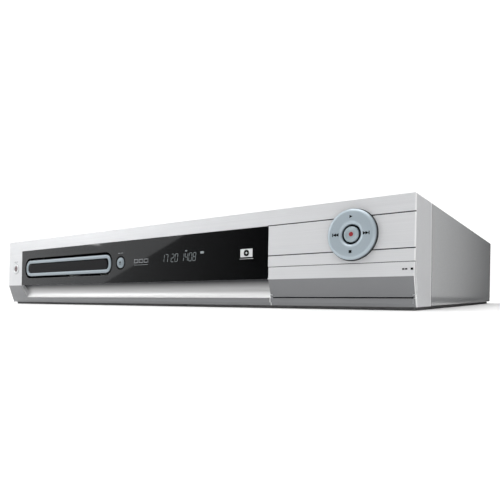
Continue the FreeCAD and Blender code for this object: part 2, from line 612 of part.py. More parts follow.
LOADER_POSTS = [(f"tray_middle + {side} * (frame_inner + ear_half)", ahead(y))
                for side in (-1, 1) for y in ("frame_start + ear_front", "frame_end - ear_rear")]
BOARD_POSTS = {
    "main_board": corners("main_left", "main_right", "main_start", "main_end"),
    "power_board": corners("power_left", "power_right", "power_start", "power_end"),
    "io_board": corners("io_left + tuner_room", "io_right", "io_start", "io_end"),
}
ALL_BOARD_POSTS = sum(BOARD_POSTS.values(), [])
pan_half = "half - steel - play"
pan_plate = join(
    block(("shell_wall + play - half", "pan_start", "pan_low"),
          ("half - shell_wall - play", "return_end + tuck + 2", "pan_top")),
    block((f"-({pan_half})", "return_end + tuck + 1", "pan_low"),
          (pan_half, "back_face - steel", "pan_top")))
pan_sides = [
    block((low, "return_end + tuck + 1", "pan_low"), (high, "back_face - steel", "pan_low + flange"))
    for low, high in ((f"-({pan_half})", f"steel - ({pan_half})"), (f"{pan_half} - steel", pan_half))]
pan_rear = block((f"-({pan_half})", "back_face - 2 * steel", "pan_low"),
                 (pan_half, "back_face - steel", "pan_low + flange * 0.7"))
posts = [rod("post_radius", "z", place, "pan_low + 0.1", "post_top") for place in ALL_BOARD_POSTS]
loader_posts = [rod("post_radius + 0.5", "z", place, "pan_low + 0.1", above("frame_low"))
                for place in LOADER_POSTS]
post_holes = [rod("screw_shank + 0.1", "z", place, "pan_low - 1", "post_top + 1")
              for place in LOADER_POSTS + ALL_BOARD_POSTS]
pan_vents = [
    block((f"main_left + {11 + 9 * n}", "sink_y - 16", "pan_low - 1"),
          (f"main_left + {14 + 9 * n}", "sink_y + 16", "pan_top + 1")) for n in range(10)]
node("base_pan", cut(join(pan_plate, *pan_sides, pan_rear, *posts, *loader_posts),
                     *post_holes, *pan_vents))

# Four low feet, bevelled underneath, with a step that holds them in the floor
FEET = [(f"{side} * (half - foot_side)", y)
        for side in (-1, 1) for y in (ahead("foot_front"), "rear - foot_rear")]
node("feet", gather(*[lathe([
    ("0", "0"), ("foot_radius - 1", "0"), ("foot_radius", "1"), ("foot_radius", "pan_low - play"),
    ("foot_radius - play", "pan_low"), ("0", "pan_low")], (x, y, "0"), "z") for x, y in FEET]))

# Wrap-around steel cover: one bent sheet with a rear flange and rows of vents
cover_bend = prism("xz", "return_end + seam_gap", "rear", [
    ("-half", "foot_gap + play"), ("steel - half", "foot_gap + play"),
    ("steel - half", "crown - bend", "bend - steel", -1), ("bend - half", "crown - steel"),
    ("half - bend", "crown - steel", "bend - steel", -1), ("half - steel", "crown - bend"),
    ("half - steel", "foot_gap + play"), ("half", "foot_gap + play"),
    ("half", "crown - bend", "bend", 1), ("half - bend", "crown"),
    ("bend - half", "crown", "bend", 1), ("-half", "crown - bend")])
cover_flange = block(("5 - half", "rear - steel", "crown - 9"),
                     ("half - 5", "rear", "crown - steel / 2"))
vent_length = 26
vent_pitch = 7
cover_vents = [
    block((f"power_left + 14 + {vent_pitch * n}", f"{row} - {vent_length}", "crown - 2"),
          (f"power_left + 16.6 + {vent_pitch * n}", row, "crown + 1"))
    for n in range(13) for row in ("rear - 12", "rear - 46")]
SCREWS = [(x, "crown - 4.8") for x in ("20 - half", "-70", "70", "half - 20")]
screw_holes = [rod("1.6", "y", (x, z), "rear - 3", "rear + 1") for x, z in SCREWS]
node("top_cover", cut(join(cover_bend, cover_flange), *cover_vents, *screw_holes))


def screw(x, z, length):
    """Pan-head screw pointing forwards, with a cross recess."""
    turned = lathe([("0", "1.9"), ("2", "1.9"), ("3", "1.1"), ("3", "0"), ("1.35", "0"),
                    ("1.35", f"-{length}"), ("0", f"-{length}")], (x, "rear + 0.02", z))
    slots = [
        block((f"{x} - {wide}", "rear + 0.9", f"{z} - {tall}"),
              (f"{x} + {wide}", "rear + 3", f"{z} + {tall}"))
        for wide, tall in (("1.5", "0.3"), ("0.3", "1.5"))]
    return cut(turned, *slots)


node("cover_screws", gather(*[screw(x, z, "5") for x, z in SCREWS]))

# Steel back plate, cut for each socket and the fan
RCA_SPOTS = [(f"io_left + rca_first + {column} * rca_pitch", above(row))
             for row in ("rca_low", "rca_high") for column in range(4)]
rear_low, rear_high = "back_face - steel", "back_face"
socket_face = "back_face - steel - 0.2"
grille = []
for step in range(-3, 4):
    chord = f"sqrt((fan_bore - 1) ^ 2 - ({step} * 5) ^ 2)"
    grille.append(block((f"fan_x + {step} * 5 - 1.4", "rear - 4", f"fan_z - {chord}"),
                        (f"fan_x + {step} * 5 + 1.4", "rear + 1", f"fan_z + {chord}")))
hub_cover = rod("fan_hub - 1", "y", ("fan_x", "fan_z"), rear_low, rear_high)
scart_rows = (above("scart_low"), above("scart_high"))
svideo_z, optical_z = above("rca_high"), above("optical_up")
plate_cuts = [
    *[block(("scart_x - 23.3", "rear - 4", f"{z} - 7.3"), ("scart_x + 23.3", "rear + 1", f"{z} + 7.3"))
      for z in scart_rows],
    *[rod("rca_radius + play", "y", place, "rear - 4", "rear + 1") for place in RCA_SPOTS],
    rod("6.1", "y", ("round_x", svideo_z), "rear - 4", "rear + 1"),
    block(("round_x - 5.2", "rear - 4", f"{optical_z} - 5.2"),
          ("round_x + 5.2", "rear + 1", f"{optical_z} + 5.2")),
    block(("inlet_x - 13.3", "rear - 4", "inlet_z - 9.3"),
          ("inlet_x + 13.3", "rear + 1", "inlet_z + 9.3")),
    *[rod("5.1", "y", ("aerial_x", z), "rear - 4", "rear + 1") for z in scart_rows],
]
screw_ways = [rod("1.6", "y", (x, z), "rear - 4", "rear + 1") for x, z in SCREWS]
bare_plate = cut(
    block((f"-({pan_half})", rear_low, "pan_top + 0.1"),
          (pan_half, rear_high, "crown - steel - 0.1")),
    *grille, *plate_cuts, *screw_ways)
node("rear_panel", join(bare_plate, hub_cover))


# Two scart sockets: a shell with one slanted end round a block
def scart_shape(inset, low, high, z):
    """Prism of the socket's five-sided outline, inset from its shell."""
    return prism("xz", low, high, [
        (f"scart_x - 22.5 + {inset}", f"{z} - 6.5 + {inset}"),
        (f"scart_x + 17.5 - {inset} * 0.5", f"{z} - 6.5 + {inset}"),
        (f"scart_x + 22.5 - {inset}", f"{z} - 0.5 + {inset} * 0.5"),
        (f"scart_x + 22.5 - {inset}", f"{z} + 6.5 - {inset}"),
        (f"scart_x - 22.5 + {inset}", f"{z} + 6.5 - {inset}")])


scarts = []
for z in scart_rows:
    skirt = cut(scart_shape("1.4", "rear - 9", "rear + 3", z),
                scart_shape("2.9", "rear - 10", "rear + 0.6", z))
    contacts = [
        block((f"scart_x - 17.6 + {n} * 3.8", "rear - 5", f"{z} + {side}"),
              (f"scart_x - 17 + {n} * 3.8", "rear + 1", f"{z} + {side} + 1.4"))
        for n in range(9) for side in (1, -2.4)]
    scarts.append(cut(scart_shape("0", "rear - 16", "rear + 1.2", z), skirt, *contacts))
node("scart_sockets", gather(*scarts))

# Phono, S-video, optical and aerial sockets
node("rear_rca_jacks", gather(*[
    rca_jack(x, z, socket_face, "+ rca_reach + steel", "12") for x, z in RCA_SPOTS]))
svideo_place = ("round_x", svideo_z)
node("rear_svideo_jack", cut(
    join(rod("5.8", "y", svideo_place, "rear - 4", "rear + 0.4"),
         block(("round_x - 6.4", "rear - 14", f"{svideo_z} - 6.4"),
               ("round_x + 6.4", socket_face, f"{svideo_z} + 6.4"))),
    cut(rod("4.6", "y", svideo_place, "rear - 6", "rear + 1"),
        rod("3.3", "y", svideo_place, "rear - 7", "rear - 0.6"))))
node("optical_socket", cut(
    join(block(("round_x - 4.8", "rear - 4", f"{optical_z} - 4.8"),
               ("round_x + 4.8", "rear + 0.6", f"{optical_z} + 4.8")),
         block(("round_x - 6", "rear - 14", f"{optical_z} - 6"),
               ("round_x + 6", socket_face, f"{optical_z} + 6"))),
    block(("round_x - 2.6", "rear - 3", f"{optical_z} - 2.6"),
          ("round_x + 2.6", "rear + 1", f"{optical_z} + 2.6"))))
aerials = [
    cut(join(rod("4.7", "y", ("aerial_x", z), "rear - 6", "rear + socket_reach"),
             rod("6", "y", ("aerial_x", z), "rear - 6", socket_face)),
        rod(bore, "y", ("aerial_x", z), "rear - 1", "rear + socket_reach + 1"))
    for z, bore in zip(scart_rows, ("1.3", "3.6"))]
tuner_can = block(("io_left + 2", "io_start - 6", "board_top"),
                  ("io_left + tuner_room", "rear - 5.9", above("50")))
node("tuner_module", join(tuner_can, *aerials))

# Mains inlet: an eight-shaped well with two pins
inlet_places = [(f"inlet_x {side} 4.3", "inlet_z") for side in "+-"]
inlet_well = [rod("4.4", "y", place, "rear - 12", "rear + 3") for place in inlet_places]
inlet_web = block(("inlet_x - 4.3", "rear - 12", "inlet_z - 3.6"),
                  ("inlet_x + 4.3", "rear + 3", "inlet_z + 3.6"))
inlet_body = join(
    block(("inlet_x - 13", "rear - 16", "inlet_z - 9"), ("inlet_x + 13", socket_face, "inlet_z + 9")),
    block(("inlet_x - 12", "rear - 8", "inlet_z - 8"), ("inlet_x + 12", "rear + 1", "inlet_z + 8")))
inlet_pins = [rod("1.1", "y", place, "rear - 13", "rear - 2") for place in inlet_places]
node("ac_inlet", join(cut(inlet_body, *inlet_well, inlet_web), *inlet_pins))

# Small cooling fan: square frame with spokes, and a rotor with pitched blades
fan_back = "back_face - steel - 0.3"
fan_front = f"{fan_back} - fan_depth"
fan_place = ("fan_x", "fan_z")
fan_ring = cut(
    block(("fan_x - fan_side / 2", fan_front, "fan_z - fan_side / 2"),
          ("fan_x + fan_side / 2", fan_back, "fan_z + fan_side / 2")),
    rod("fan_bore", "y", fan_place, f"{fan_front} - 1", f"{fan_back} + 1"),
    *[rod("1.7", "y", (f"fan_x + {a} * fan_side * 0.4", f"fan_z + {b} * fan_side * 0.4"),
          f"{fan_front} - 1", f"{fan_back} + 1") for a in (-1, 1) for b in (-1, 1)])
fan_spokes = [
    block((f"fan_x - {wide}", f"{fan_back} - 1.2", f"fan_z - {tall}"),
          (f"fan_x + {wide}", fan_back, f"fan_z + {tall}"))
    for wide, tall in (("fan_bore + 0.5", "1.2"), ("1.2", "fan_bore + 0.5"))]
fan_seat = rod("fan_hub - 0.5", "y", fan_place, f"{fan_back} - 1.2", fan_back)
fan_axle = rod("axle", "y", fan_place, f"{fan_front} + 2.5", f"{fan_back} - 1")
node("fan_frame", join(fan_ring, *fan_spokes, fan_seat, fan_axle))
blades = []
for index in range(SIZES["fan_blades"]):
    blade = doc.addObject("Part::Box", "blade")
    bind(blade, Length="fan_bore - fan_hub - 0.2", Width="6.5", Height="1")
    blade.Placement.Rotation = Rotation(Vector(1, 0, 0), 38)
    seat(blade, "fan_hub - 0.8", "-2.6", "-2.4")
    turned = gather(blade)
    turned.Placement.Rotation = Rotation(Vector(0, 1, 0), 360 * index / SIZES["fan_blades"])
    blades.append(seat(turned, "fan_x", f"{fan_front} + 4.3", "fan_z"))
fan_hub = cut(rod("fan_hub", "y", fan_place, f"{fan_front} + 0.4", f"{fan_back} - 1.6"),
              rod("axle + fit", "y", fan_place, f"{fan_front} + 2", fan_back))
node("fan_rotor", common(
    join(fan_hub, *blades),
    rod("fan_bore - 0.5", "y", fan_place, f"{fan_front} + 0.3", f"{fan_back} - 1.5")))

# Disc tray: shallow wells, a slot for turntable and pickup, guide rails and a toothed rack
tray_body = block(("tray_middle - tray_half", ahead("tray_start"), above("tray_low")),
                  ("tray_middle + tray_half", ahead("tray_end"), above("tray_high")))
tray_rails = [block((f"tray_middle + {low}", ahead("tray_start + 10"), above("rail_low")),
                    (f"tray_middle + {high}", ahead("tray_end"), above("rail_high")))
              for low, high in (("tray_half - 1", "rail_reach"), ("-rail_reach", "1 - tray_half"))]
disc_place = ("tray_middle", ahead("disc_y"))
disc_well = rod("disc_radius", "z", disc_place, above("tray_floor"), above("tray_high + 1"))
small_well = rod("small_radius", "z", disc_place, above("small_floor"), above("tray_high"))
tray_slot = join(
    rod("turntable_radius + 4", "z", disc_place, above("tray_low - 1"), above("tray_high")),
    block(("tray_middle - slot_half", ahead("disc_y"), above("tray_low - 1")),
          ("tray_middle + slot_half", ahead("disc_y + slot_back"), above("tray_high"))))
tray_hollows = [
    block((f"tray_middle + {low}", ahead("tray_start + 4"), above("tray_low - 1")),
          (f"tray_middle + {high}", ahead("disc_y - turntable_radius - 8"), above("small_floor - 2")))
    for low, high in (("6 - tray_half", "-4"), ("4", "rack_line - 6"))]
tray_rear_dip = block(("tray_middle + 8 - tray_half", ahead("disc_y + slot_back + 6"), above("tray_floor")),
                      ("tray_middle + tray_half - 8", ahead("tray_end - 6"), above("tray_high + 1")))
rack_bar = block(
    ("tray_middle + rack_line + tooth * 1.2", ahead("gear_y - pitch * (rack_first + 0.5)"),
     above("tray_low - rack_drop")),
    ("tray_middle + rack_line + 5", ahead("gear_y + pitch * (rack_teeth - rack_first - 0.5)"),
     above("tray_low + 0.5")))
rack = doc.addObject("PartDesign::Body", "rack")
tooth_y = ahead("gear_y - pitch * rack_first")
tooth_sketch = outline("xy", above("tray_low - rack_drop"), [
    ("tray_middle + rack_line + tooth * 1.5", f"{tooth_y} - tooth * 1.25"),
    ("tray_middle + rack_line + tooth * 1.5", f"{tooth_y} + tooth * 1.25"),
    ("tray_middle + rack_line - tooth * 0.85", f"{tooth_y} + tooth * 0.36"),
    ("tray_middle + rack_line - tooth * 0.85", f"{tooth_y} - tooth * 0.36")], rack)
rack_tooth = rack.newObject("PartDesign::Pad", "rack_tooth")
rack_tooth.Profile = tooth_sketch
bind(rack_tooth, Length="rack_drop + 0.5")
doc.recompute()
rack_row = rack.newObject("PartDesign::LinearPattern", "rack_row")
rack_row.Originals = [rack_tooth]
rack_row.Direction = (next(a for a in rack.Origin.OriginFeatures if a.Role == "Y_Axis"), [""])
bind(rack_row, Length="pitch * (rack_teeth - 1)", Occurrences="rack_teeth")
rack.Tip = rack_row
node("disc_tray", join(
    cut(join(tray_body, *tray_rails), disc_well, small_well, tray_slot, *tray_hollows, tray_rear_dip),
    rack_bar, rack))

# Tray door: pale rounded frame round a dark inset bar
door_shape = rounded("door_width / 2", "door_height / 2", "-0.3", "door_wall - 0.3",
                     ("tray_middle", "door_up"), "door_corner")
insert_middle = ("tray_middle", "door_up - insert_drop")
door_dip = rounded("insert_width / 2", "insert_height / 2", "-1", "insert_wall", insert_middle, "4")
node("tray_door_frame", on_face(cut(door_shape, door_dip)))
node("tray_door_insert", on_face(rounded(
    "insert_width / 2 - 0.15", "insert_height / 2 - 0.15", "0.5", "insert_wall", insert_middle, "3.85")))
lean_block = on_face(block(
    ("tray_middle - tray_half + 4", "door_wall - play", "rail_low - chamfer_height"),
    ("tray_middle + tray_half - 4", "tray_start + 2", "tray_high - 1 - chamfer_height")))
node("tray_front_seal", cut(lean_block, block(
    ("tray_middle - tray_half", ahead("tray_start"), above("tray_low")),
    ("tray_middle + tray_half", ahead("tray_start + 4"), above("tray_high + 2")))))

# Loader frame: two long walls with tray guides, a front shelf for the drive, a rear tie
WALLS = [("frame_inner", "frame_inner + frame_wall"), ("-frame_inner - frame_wall", "-frame_inner")]
LEDGES = [("frame_inner - ledge", "frame_inner + 1"), ("-frame_inner - 1", "ledge - frame_inner")]
LEDGE_HEIGHTS = [("rail_low - 2.4", "rail_low - play"), ("rail_high + play", "rail_high + 2.3")]
frame_walls = [
    block((f"tray_middle + {low}", ahead("frame_start"), above("frame_low")),
          (f"tray_middle + {high}", ahead("frame_end"), above("frame_high")))
    for low, high in WALLS]
frame_ledges = [
    block((f"tray_middle + {low}", ahead("frame_start"), above(bottom)),
          (f"tray_middle + {high}", ahead("frame_end"), above(top)))
    for low, high in LEDGES for bottom, top in LEDGE_HEIGHTS]
inner_left, inner_right = "tray_middle - frame_inner - 1", "tray_middle + frame_inner + 1"
frame_front = block((inner_left, ahead("frame_start"), above("frame_low")),
                    (inner_right, ahead("shelf_end"), above("frame_low + frame_floor")))
frame_cross = block((inner_left, ahead("shelf_end"), above("frame_low")),
                    (inner_right, ahead("shelf_end + cross_wall"), above("tray_low - 4")))
frame_tie = block((inner_left, ahead("frame_end - 16"), above("frame_low")),
                  (inner_right, ahead("frame_end"), above("frame_low + frame_floor + 2")))
motor_place = ("motor_x", ahead("gear_y"))
gear_place = ("gear_x", ahead("gear_y"))
pinion_place = ("pinion_x", ahead("gear_y"))
motor_shelf = join(
    block(("motor_x - motor_radius - 3", ahead("gear_y - motor_radius - 3"), above("clip_z")),
          ("motor_x + motor_radius + 3", ahead("shelf_end + 1"), above("clip_z + 1.5"))),
    block(("motor_x - motor_radius - 3", ahead("gear_y - motor_radius - 3"), above("frame_low + 1")),
          ("motor_x - motor_radius - 1", ahead("shelf_end + 1"), above("clip_z + 0.5"))))
motor_way = rod("5", "z", motor_place, above("frame_low + 3"), above("clip_z + 3"))
axle_posts = [
    rod("axle", "z", gear_place, above("frame_low + 1"), above("tray_low - 0.4")),
    rod("axle", "z", pinion_place, above("frame_low + 1"), above("clip_z + 4.4"))]
axle_feet = [
    rod("axle + 1.6", "z", gear_place, above("frame_low + 1"), above("clip_z - 0.2")),
    rod("axle + 1.6", "z", pinion_place, above("frame_low + 1"), above("frame_low + frame_floor + 3.7"))]
frame_ears = [
    block((f"tray_middle + {low}", ahead(f"{y} - ear_half"), above("frame_low")),
          (f"tray_middle + {high}", ahead(f"{y} + ear_half"), above("frame_low + 3")))
    for y in ("frame_start + ear_front", "frame_end - ear_rear")
    for low, high in (("frame_inner", "frame_inner + ear_reach"),
                      ("-frame_inner - ear_reach", "-frame_inner"))]
ear_holes = [rod("1.6", "z", place, above("frame_low - 1"), above("frame_low + 5"))
             for place in LOADER_POSTS]
pivot_holes = rod("pivot_pin + fit", "x", (ahead("pivot_y"), above("pivot_z")),
                  "tray_middle - frame_inner - frame_wall - 1",
                  "tray_middle + frame_inner + frame_wall + 1")
slider_rail = join(
    block((inner_left, ahead("shelf_end"), above("frame_low - 2")),
          (inner_right, ahead("slider_y + 3.6"), above("frame_low"))),
    block((inner_left, ahead("slider_y + 1.8"), above("frame_low - 2")),
          (inner_right, ahead("slider_y + 3.6"), above("frame_low + 0.8"))))
node("loader_frame", cut(
    join(*frame_walls, *frame_ledges, frame_front, frame_cross, frame_tie, motor_shelf, slider_rail,
         *axle_feet, *axle_posts, *frame_ears),
    motor_way, pivot_holes, *ear_holes))

# Loading drive: motor, belt, pulley gear and the gear that moves the tray's rack
node("loading_motor", join(
    rod("motor_radius", "z", motor_place, above("clip_z + 1.5"), above("tray_low - 0.8")),
    rod("4.6", "z", motor_place, above("clip_z + 0.2"), above("clip_z + 1.6"))))
node("motor_pulley", join(
    rod("motor_pulley", "z", motor_place, above("clip_z - 5"), above("clip_z - 0.8")),
    *[rod("motor_pulley + 1", "z", motor_place, above(low), above(high))
      for low, high in (("clip_z - 5", "clip_z - 4.4"), ("clip_z - 1.4", "clip_z - 0.8"))]))


def belt_loop(grow, low, high):
    """Loop round both pulleys: two discs and the strip between their outer tangents."""
    large, small = f"(pulley_radius + {grow})", f"(motor_pulley + {grow})"
    tip = "asin((pulley_radius - motor_pulley) / motor_span)"
    strip = prism("xy", low, high, [
        (f"pinion_x - {large} * sin({tip})", f"front + gear_y - {large} * cos({tip})"),
        (f"pinion_x - {large} * sin({tip})", f"front + gear_y + {large} * cos({tip})"),
        (f"motor_x - {small} * sin({tip})", f"front + gear_y + {small} * cos({tip})"),
        (f"motor_x - {small} * sin({tip})", f"front + gear_y - {small} * cos({tip})")])
    return join(strip, rod(large, "z", pinion_place, low, high), rod(small, "z", motor_place, low, high))


node("loading_belt", cut(belt_loop("belt_slack + belt", above("clip_z - 4.1"), above("clip_z - 1.7")),
                         belt_loop("belt_slack", above("clip_z - 5"), above("clip_z - 1"))))


def gear(teeth, low, high, phase):
    """Spur gear about the z axis: a root disc and one tooth, patterned round it."""
    body = doc.addObject("PartDesign::Body", "gear")
    radius = f"tooth * {teeth} / 2"
    wheel = body.newObject("Sketcher::SketchObject", "root_circle")
    wheel.addGeometry(Part.Circle(Vector(0, 0, 0), Vector(0, 0, 1), value(f"{radius} - tooth * 1.15")))
    wheel.addConstraint(Sketcher.Constraint("Coincident", 0, 3, -1, 1))
    held = wheel.addConstraint(Sketcher.Constraint("Radius", 0, value(f"{radius} - tooth * 1.15")))
    wheel.setExpression(f"Constraints[{held}]", tied(f"{radius} - tooth * 1.15"))
    disc = body.newObject("PartDesign::Pad", "root_disc")
    disc.Profile = wheel
    bind(disc, Length=f"({high}) - ({low})")
    point = [(f"{radius} - tooth * 1.4", -0.98), (f"{radius} - tooth * 0.5", -0.88), (radius, -0.66),
             (f"{radius} + tooth * 0.55", -0.4), (f"{radius} + tooth * 0.82", -0.24)]
    point += [(reach, -wide) for reach, wide in reversed(point)]
    shape = outline("xy", "0", [(reach, f"tooth * {wide}") for reach, wide in point], body)
    first = body.newObject("PartDesign::Pad", "tooth")
    first.Profile = shape
    bind(first, Length=f"({high}) - ({low})")
    doc.recompute()
    ring_row = body.newObject("PartDesign::PolarPattern", "teeth")
    ring_row.Originals = [first]
    ring_row.Axis = (next(a for a in body.Origin.OriginFeatures if a.Role == "Z_Axis"), [""])
    ring_row.Angle = 360
    bind(ring_row, Occurrences=teeth)
    body.Tip = ring_row
    body.Placement.Rotation = Rotation(Vector(0, 0, 1), 1)
    body.setExpression("Placement.Rotation.Angle", tied(phase))
    return body


tray_wheel = seat(gear("tray_teeth", "0", "tray_low - 0.4 - clip_z", "180 / tray_teeth"),
                  *gear_place, above("clip_z"))
node("tray_gear", cut(
    tray_wheel, rod("axle + fit", "z", gear_place, above("clip_z - 1"), above("tray_low"))))
pinion = seat(gear("pinion_teeth", "0", "4.8", "0"), *pinion_place, above("clip_z - 0.9"))
pulley = rod("pulley_radius", "z", pinion_place, above("clip_z - 5"), above("clip_z - 0.8"))
node("pulley_gear", cut(
    join(pulley, pinion), rod("axle + fit", "z", pinion_place, above("clip_z - 6"), above("clip_z + 6"))))

# Lift slider: an upright plate whose two sloping slots raise the traverse
lift_out = "(pivot_y - slider_y - slider_wall / 2)"
pin_rest = f"(foot_gap + pivot_z + lift_height / cos(drop) - {lift_out} * tan(drop))"
pin_up = "(foot_gap + pivot_z + lift_height)"
guide_rise = f"(guide_end * ({pin_up} - {pin_rest}) / lift_run)"
slots = [
    prism("xz", ahead("slider_y - 1"), ahead("slider_y + slider_wall + 1"), [
        (f"tray_middle + {x} + guide_end", f"{pin_rest} - guide_half - {guide_rise}"),
        (f"tray_middle + {x} + guide_end", f"{pin_rest} + guide_half - {guide_rise}"),
        (f"tray_middle + {x} - lift_run - guide_end", f"{pin_up} + guide_half + {guide_rise}"),
        (f"tray_middle + {x} - lift_run - guide_end", f"{pin_up} - guide_half + {guide_rise}")])
    for x in ("lift_pin_x", "-lift_pin_x")]
node("lift_slider", cut(
    block(("tray_middle - lift_pin_x - lift_run - 5", ahead("slider_y"), above("frame_low + play")),
          ("tray_middle + lift_pin_x + 5", ahead("slider_y + slider_wall"), above("tray_low - 0.7"))),
    *slots))

# Traverse: a pressed plate with the spindle motor, guide rods, sled motor and lift pins
plate = block(("-plate_half", "-lift_reach + 3", "plate_low"), ("plate_half", "4", "plate_high"))
plate_sides = [
    block((low, "-lift_reach + 8", "plate_low - 5"), (high, "5", "plate_high"))
    for low, high in (("-plate_half", "1.5 - plate_half"), ("plate_half - 1.5", "plate_half"))]
pivot_ears = [
    block((low, "-4", "-3.5"), (high, "4", "plate_high"))
    for low, high in (("-plate_half", "3 - plate_half"), ("plate_half - 3", "plate_half"))]
pivots = [
    rod("pivot_pin", "x", ("0", "0"), low, high)
    for low, high in (("-frame_inner - frame_wall + 0.5", "1 - plate_half"),
                      ("plate_half - 1", "frame_inner + frame_wall - 0.5"))]
lift_lugs = [
    block((f"{x} - 3", "-lift_reach + 3", "plate_low"), (f"{x} + 3", "-lift_reach + 6", "lift_height + 2.5"))
    for x in ("lift_pin_x", "-lift_pin_x")]
lift_pins = [rod("lift_pin", "y", (x, "lift_height"), "-lift_reach - 3.4", "-lift_reach + 4")
             for x in ("lift_pin_x", "-lift_pin_x")]
sled_way = block(("-rod_x - 4", "-sled_front - 2", "plate_low - 1"),
                 ("screw_x + 5", "sled_end + 4", "plate_high + 1"))
motor_bay = block(("screw_x - 5.5", "-13", "plate_low - 1"), ("screw_x + 5.5", "3", "plate_high + 1"))
rod_ends = [
    block((f"{x} - 3", low, "plate_low"), (f"{x} + 3", high, "rod_height + 2"))
    for x in ("rod_x", "-rod_x")
    for low, high in (("-sled_front - 5", "-sled_front - 2"), ("sled_end + 4", "sled_end + 7"))]
screw_end = block(("screw_x - 3", "-sled_front - 5", "plate_low - 2.5"),
                  ("screw_x + 3", "-sled_front - 2", "plate_high + 2"))
rod_ways = [rod("rod_radius + fit", "y", (x, "rod_height"), "-sled_front - 4", "sled_end + 6")
            for x in ("rod_x", "-rod_x")]
screw_place = ("screw_x", "screw_height")
screw_way = rod("rod_radius + fit", "y", screw_place, "-sled_front - 6", "-sled_front")
bare_traverse = cut(join(plate, *plate_sides, *pivot_ears), sled_way, motor_bay)
node("traverse_frame", on_traverse(cut(
    join(bare_traverse, *pivots, *lift_lugs, *lift_pins, *rod_ends, screw_end), *rod_ways, screw_way)))
node("guide_rods", on_traverse(gather(*[
    rod("rod_radius", "y", (x, "rod_height"), "-sled_front - 3.9", "sled_end + 5.9")
    for x in ("rod_x", "-rod_x")])))
spindle_place = ("0", "-spindle_reach")
node("spindle_motor", on_traverse(cut(
    join(rod("12", "z", spindle_place, "plate_high", "plate_high + 2"),
         rod("turntable_radius - 2", "z", spindle_place, "plate_high", "seat_height - 2.9")),
    rod("1.08", "z", spindle_place, "plate_high + 1.5", "seat_height"))))
node("turntable", on_traverse(lathe([
    ("0", "plate_high + 2"), ("1", "plate_high + 2"), ("1", "seat_height - 2.5"),
    ("turntable_radius", "seat_height - 2.5"), ("turntable_radius", "seat_height"),
    ("hub_radius", "seat_height"), ("hub_radius - 0.9", "seat_height + 1.8"), ("0", "seat_height + 1.8")],
    (*spindle_place, "0"), "z")))
sled_low, sled_high = "-sled_front", "sled_length - sled_front"
lens_place = ("0", "10 - sled_front")
sled_body = join(
    block(("-rod_x - 3.5", sled_low, "plate_high + 0.6"), ("rod_x + 3.5", sled_high, "rod_height + 2.2")),
    block(("-rod_x + 4", sled_low, "plate_low - 3"), ("rod_x - 4", sled_high, "plate_high + 1")),
    block(("rod_x - 5", "8 - sled_front", "plate_low - 2"),
          ("screw_x + 3.5", "18 - sled_front", "plate_high + 1.6")),
    rod("7", "z", lens_place, "rod_height", "seat_height - 2.6"))
node("pickup_sled", on_traverse(cut(
    sled_body,
    *[rod("rod_radius + fit", "y", (x, "rod_height"), "-sled_front - 1", "sled_length - sled_front + 1")
      for x in ("rod_x", "-rod_x")],
    rod("rod_radius + fit", "y", screw_place, "-sled_front", "20 - sled_front"),
    rod("3.2", "z", lens_place, "seat_height - 3.6", "seat_height - 2"))))
node("pickup_lens", on_traverse(lathe([
    ("0", "seat_height - 3.6"), ("3.1", "seat_height - 3.6"), ("3.1", "seat_height - 2.6"),
    ("2.2", "seat_height - 1.9"), ("0", "seat_height - 1.6")], (*lens_place, "0"), "z")))
node("lead_screw", on_traverse(rod("rod_radius", "y", screw_place, "-sled_front - 4.6", "-12.6")))
node("sled_motor", on_traverse(rod("5.2", "y", screw_place, "-12.3", "2.6")))

# Clamp: a steel bridge over the tray and the loose puck that hangs in it
bridge_low = above("frame_high")
bridge_front, bridge_back = ahead("disc_y - bridge_half"), ahead("disc_y + bridge_half")
bridge_top = block(("tray_middle - frame_inner - frame_wall", bridge_front, bridge_low),
                   ("tray_middle + frame_inner + frame_wall", bridge_back, f"{bridge_low} + steel"))
bridge_legs = [
    block((f"tray_middle + {low}", bridge_front, f"{bridge_low} - 8"),
          (f"tray_middle + {high}", bridge_back, f"{bridge_low} + steel"))
    for low, high in (("frame_inner + frame_wall", "frame_inner + frame_wall + steel"),
                      ("-frame_inner - frame_wall - steel", "-frame_inner - frame_wall"))]
node("clamp_bridge", cut(
    join(bridge_top, *bridge_legs),
    rod("puck_hole", "z", disc_place, f"{bridge_low} - 1", f"{bridge_low} + 2")))
node("clamp_puck", lathe([
    ("0", "tray_high + 0.5"), ("puck_radius - 2", "tray_high + 0.5"), ("puck_radius - 2", "frame_high - 0.6"),
    ("puck_hole - 1", "frame_high - 0.6"), ("puck_hole - 1", "frame_high + steel + 0.3"),
    ("puck_radius", "frame_high + steel + 0.3"), ("puck_radius", "frame_high + steel + 2"),
    ("0", "frame_high + steel + 2.6")], (*disc_place, "foot_gap"), "z"))

# Hard disk drive in its steel cradle
drive_start = "front + board_start + 3"
node("hard_drive", join(
    block(("drive_x", drive_start, above("drive_low")),
          ("drive_right", f"{drive_start} + drive_length", above("drive_low + drive_height * 0.8"))),
    block(("drive_x + 2", f"{drive_start} + 6", above("drive_low + 1")),
          ("drive_right - 2", f"{drive_start} + drive_length - 12", above("drive_low + drive_height"))),
    rod("30", "z", ("drive_x + drive_width / 2", f"{drive_start} + 97"), above("drive_low + 5"),
        above("drive_low + drive_height + 0.6"))))
cradle_front, cradle_back = f"{drive_start} + 7", f"{drive_start} + drive_length - 11"
cradle_sides = [
    block((low, cradle_front, "pan_top"), (high, cradle_back, above("drive_low + 14")))
    for low, high in (("drive_x - cradle_wall", "drive_x"), ("drive_right", "drive_right + cradle_wall"))]
cradle_feet = [
    block((low, cradle_front, "pan_top"), (high, cradle_back, "pan_top + cradle_wall"))
    for low, high in (("drive_x - cradle_foot", "drive_x - 1"),
                      ("drive_right", "drive_right + cradle_foot - 2"))]
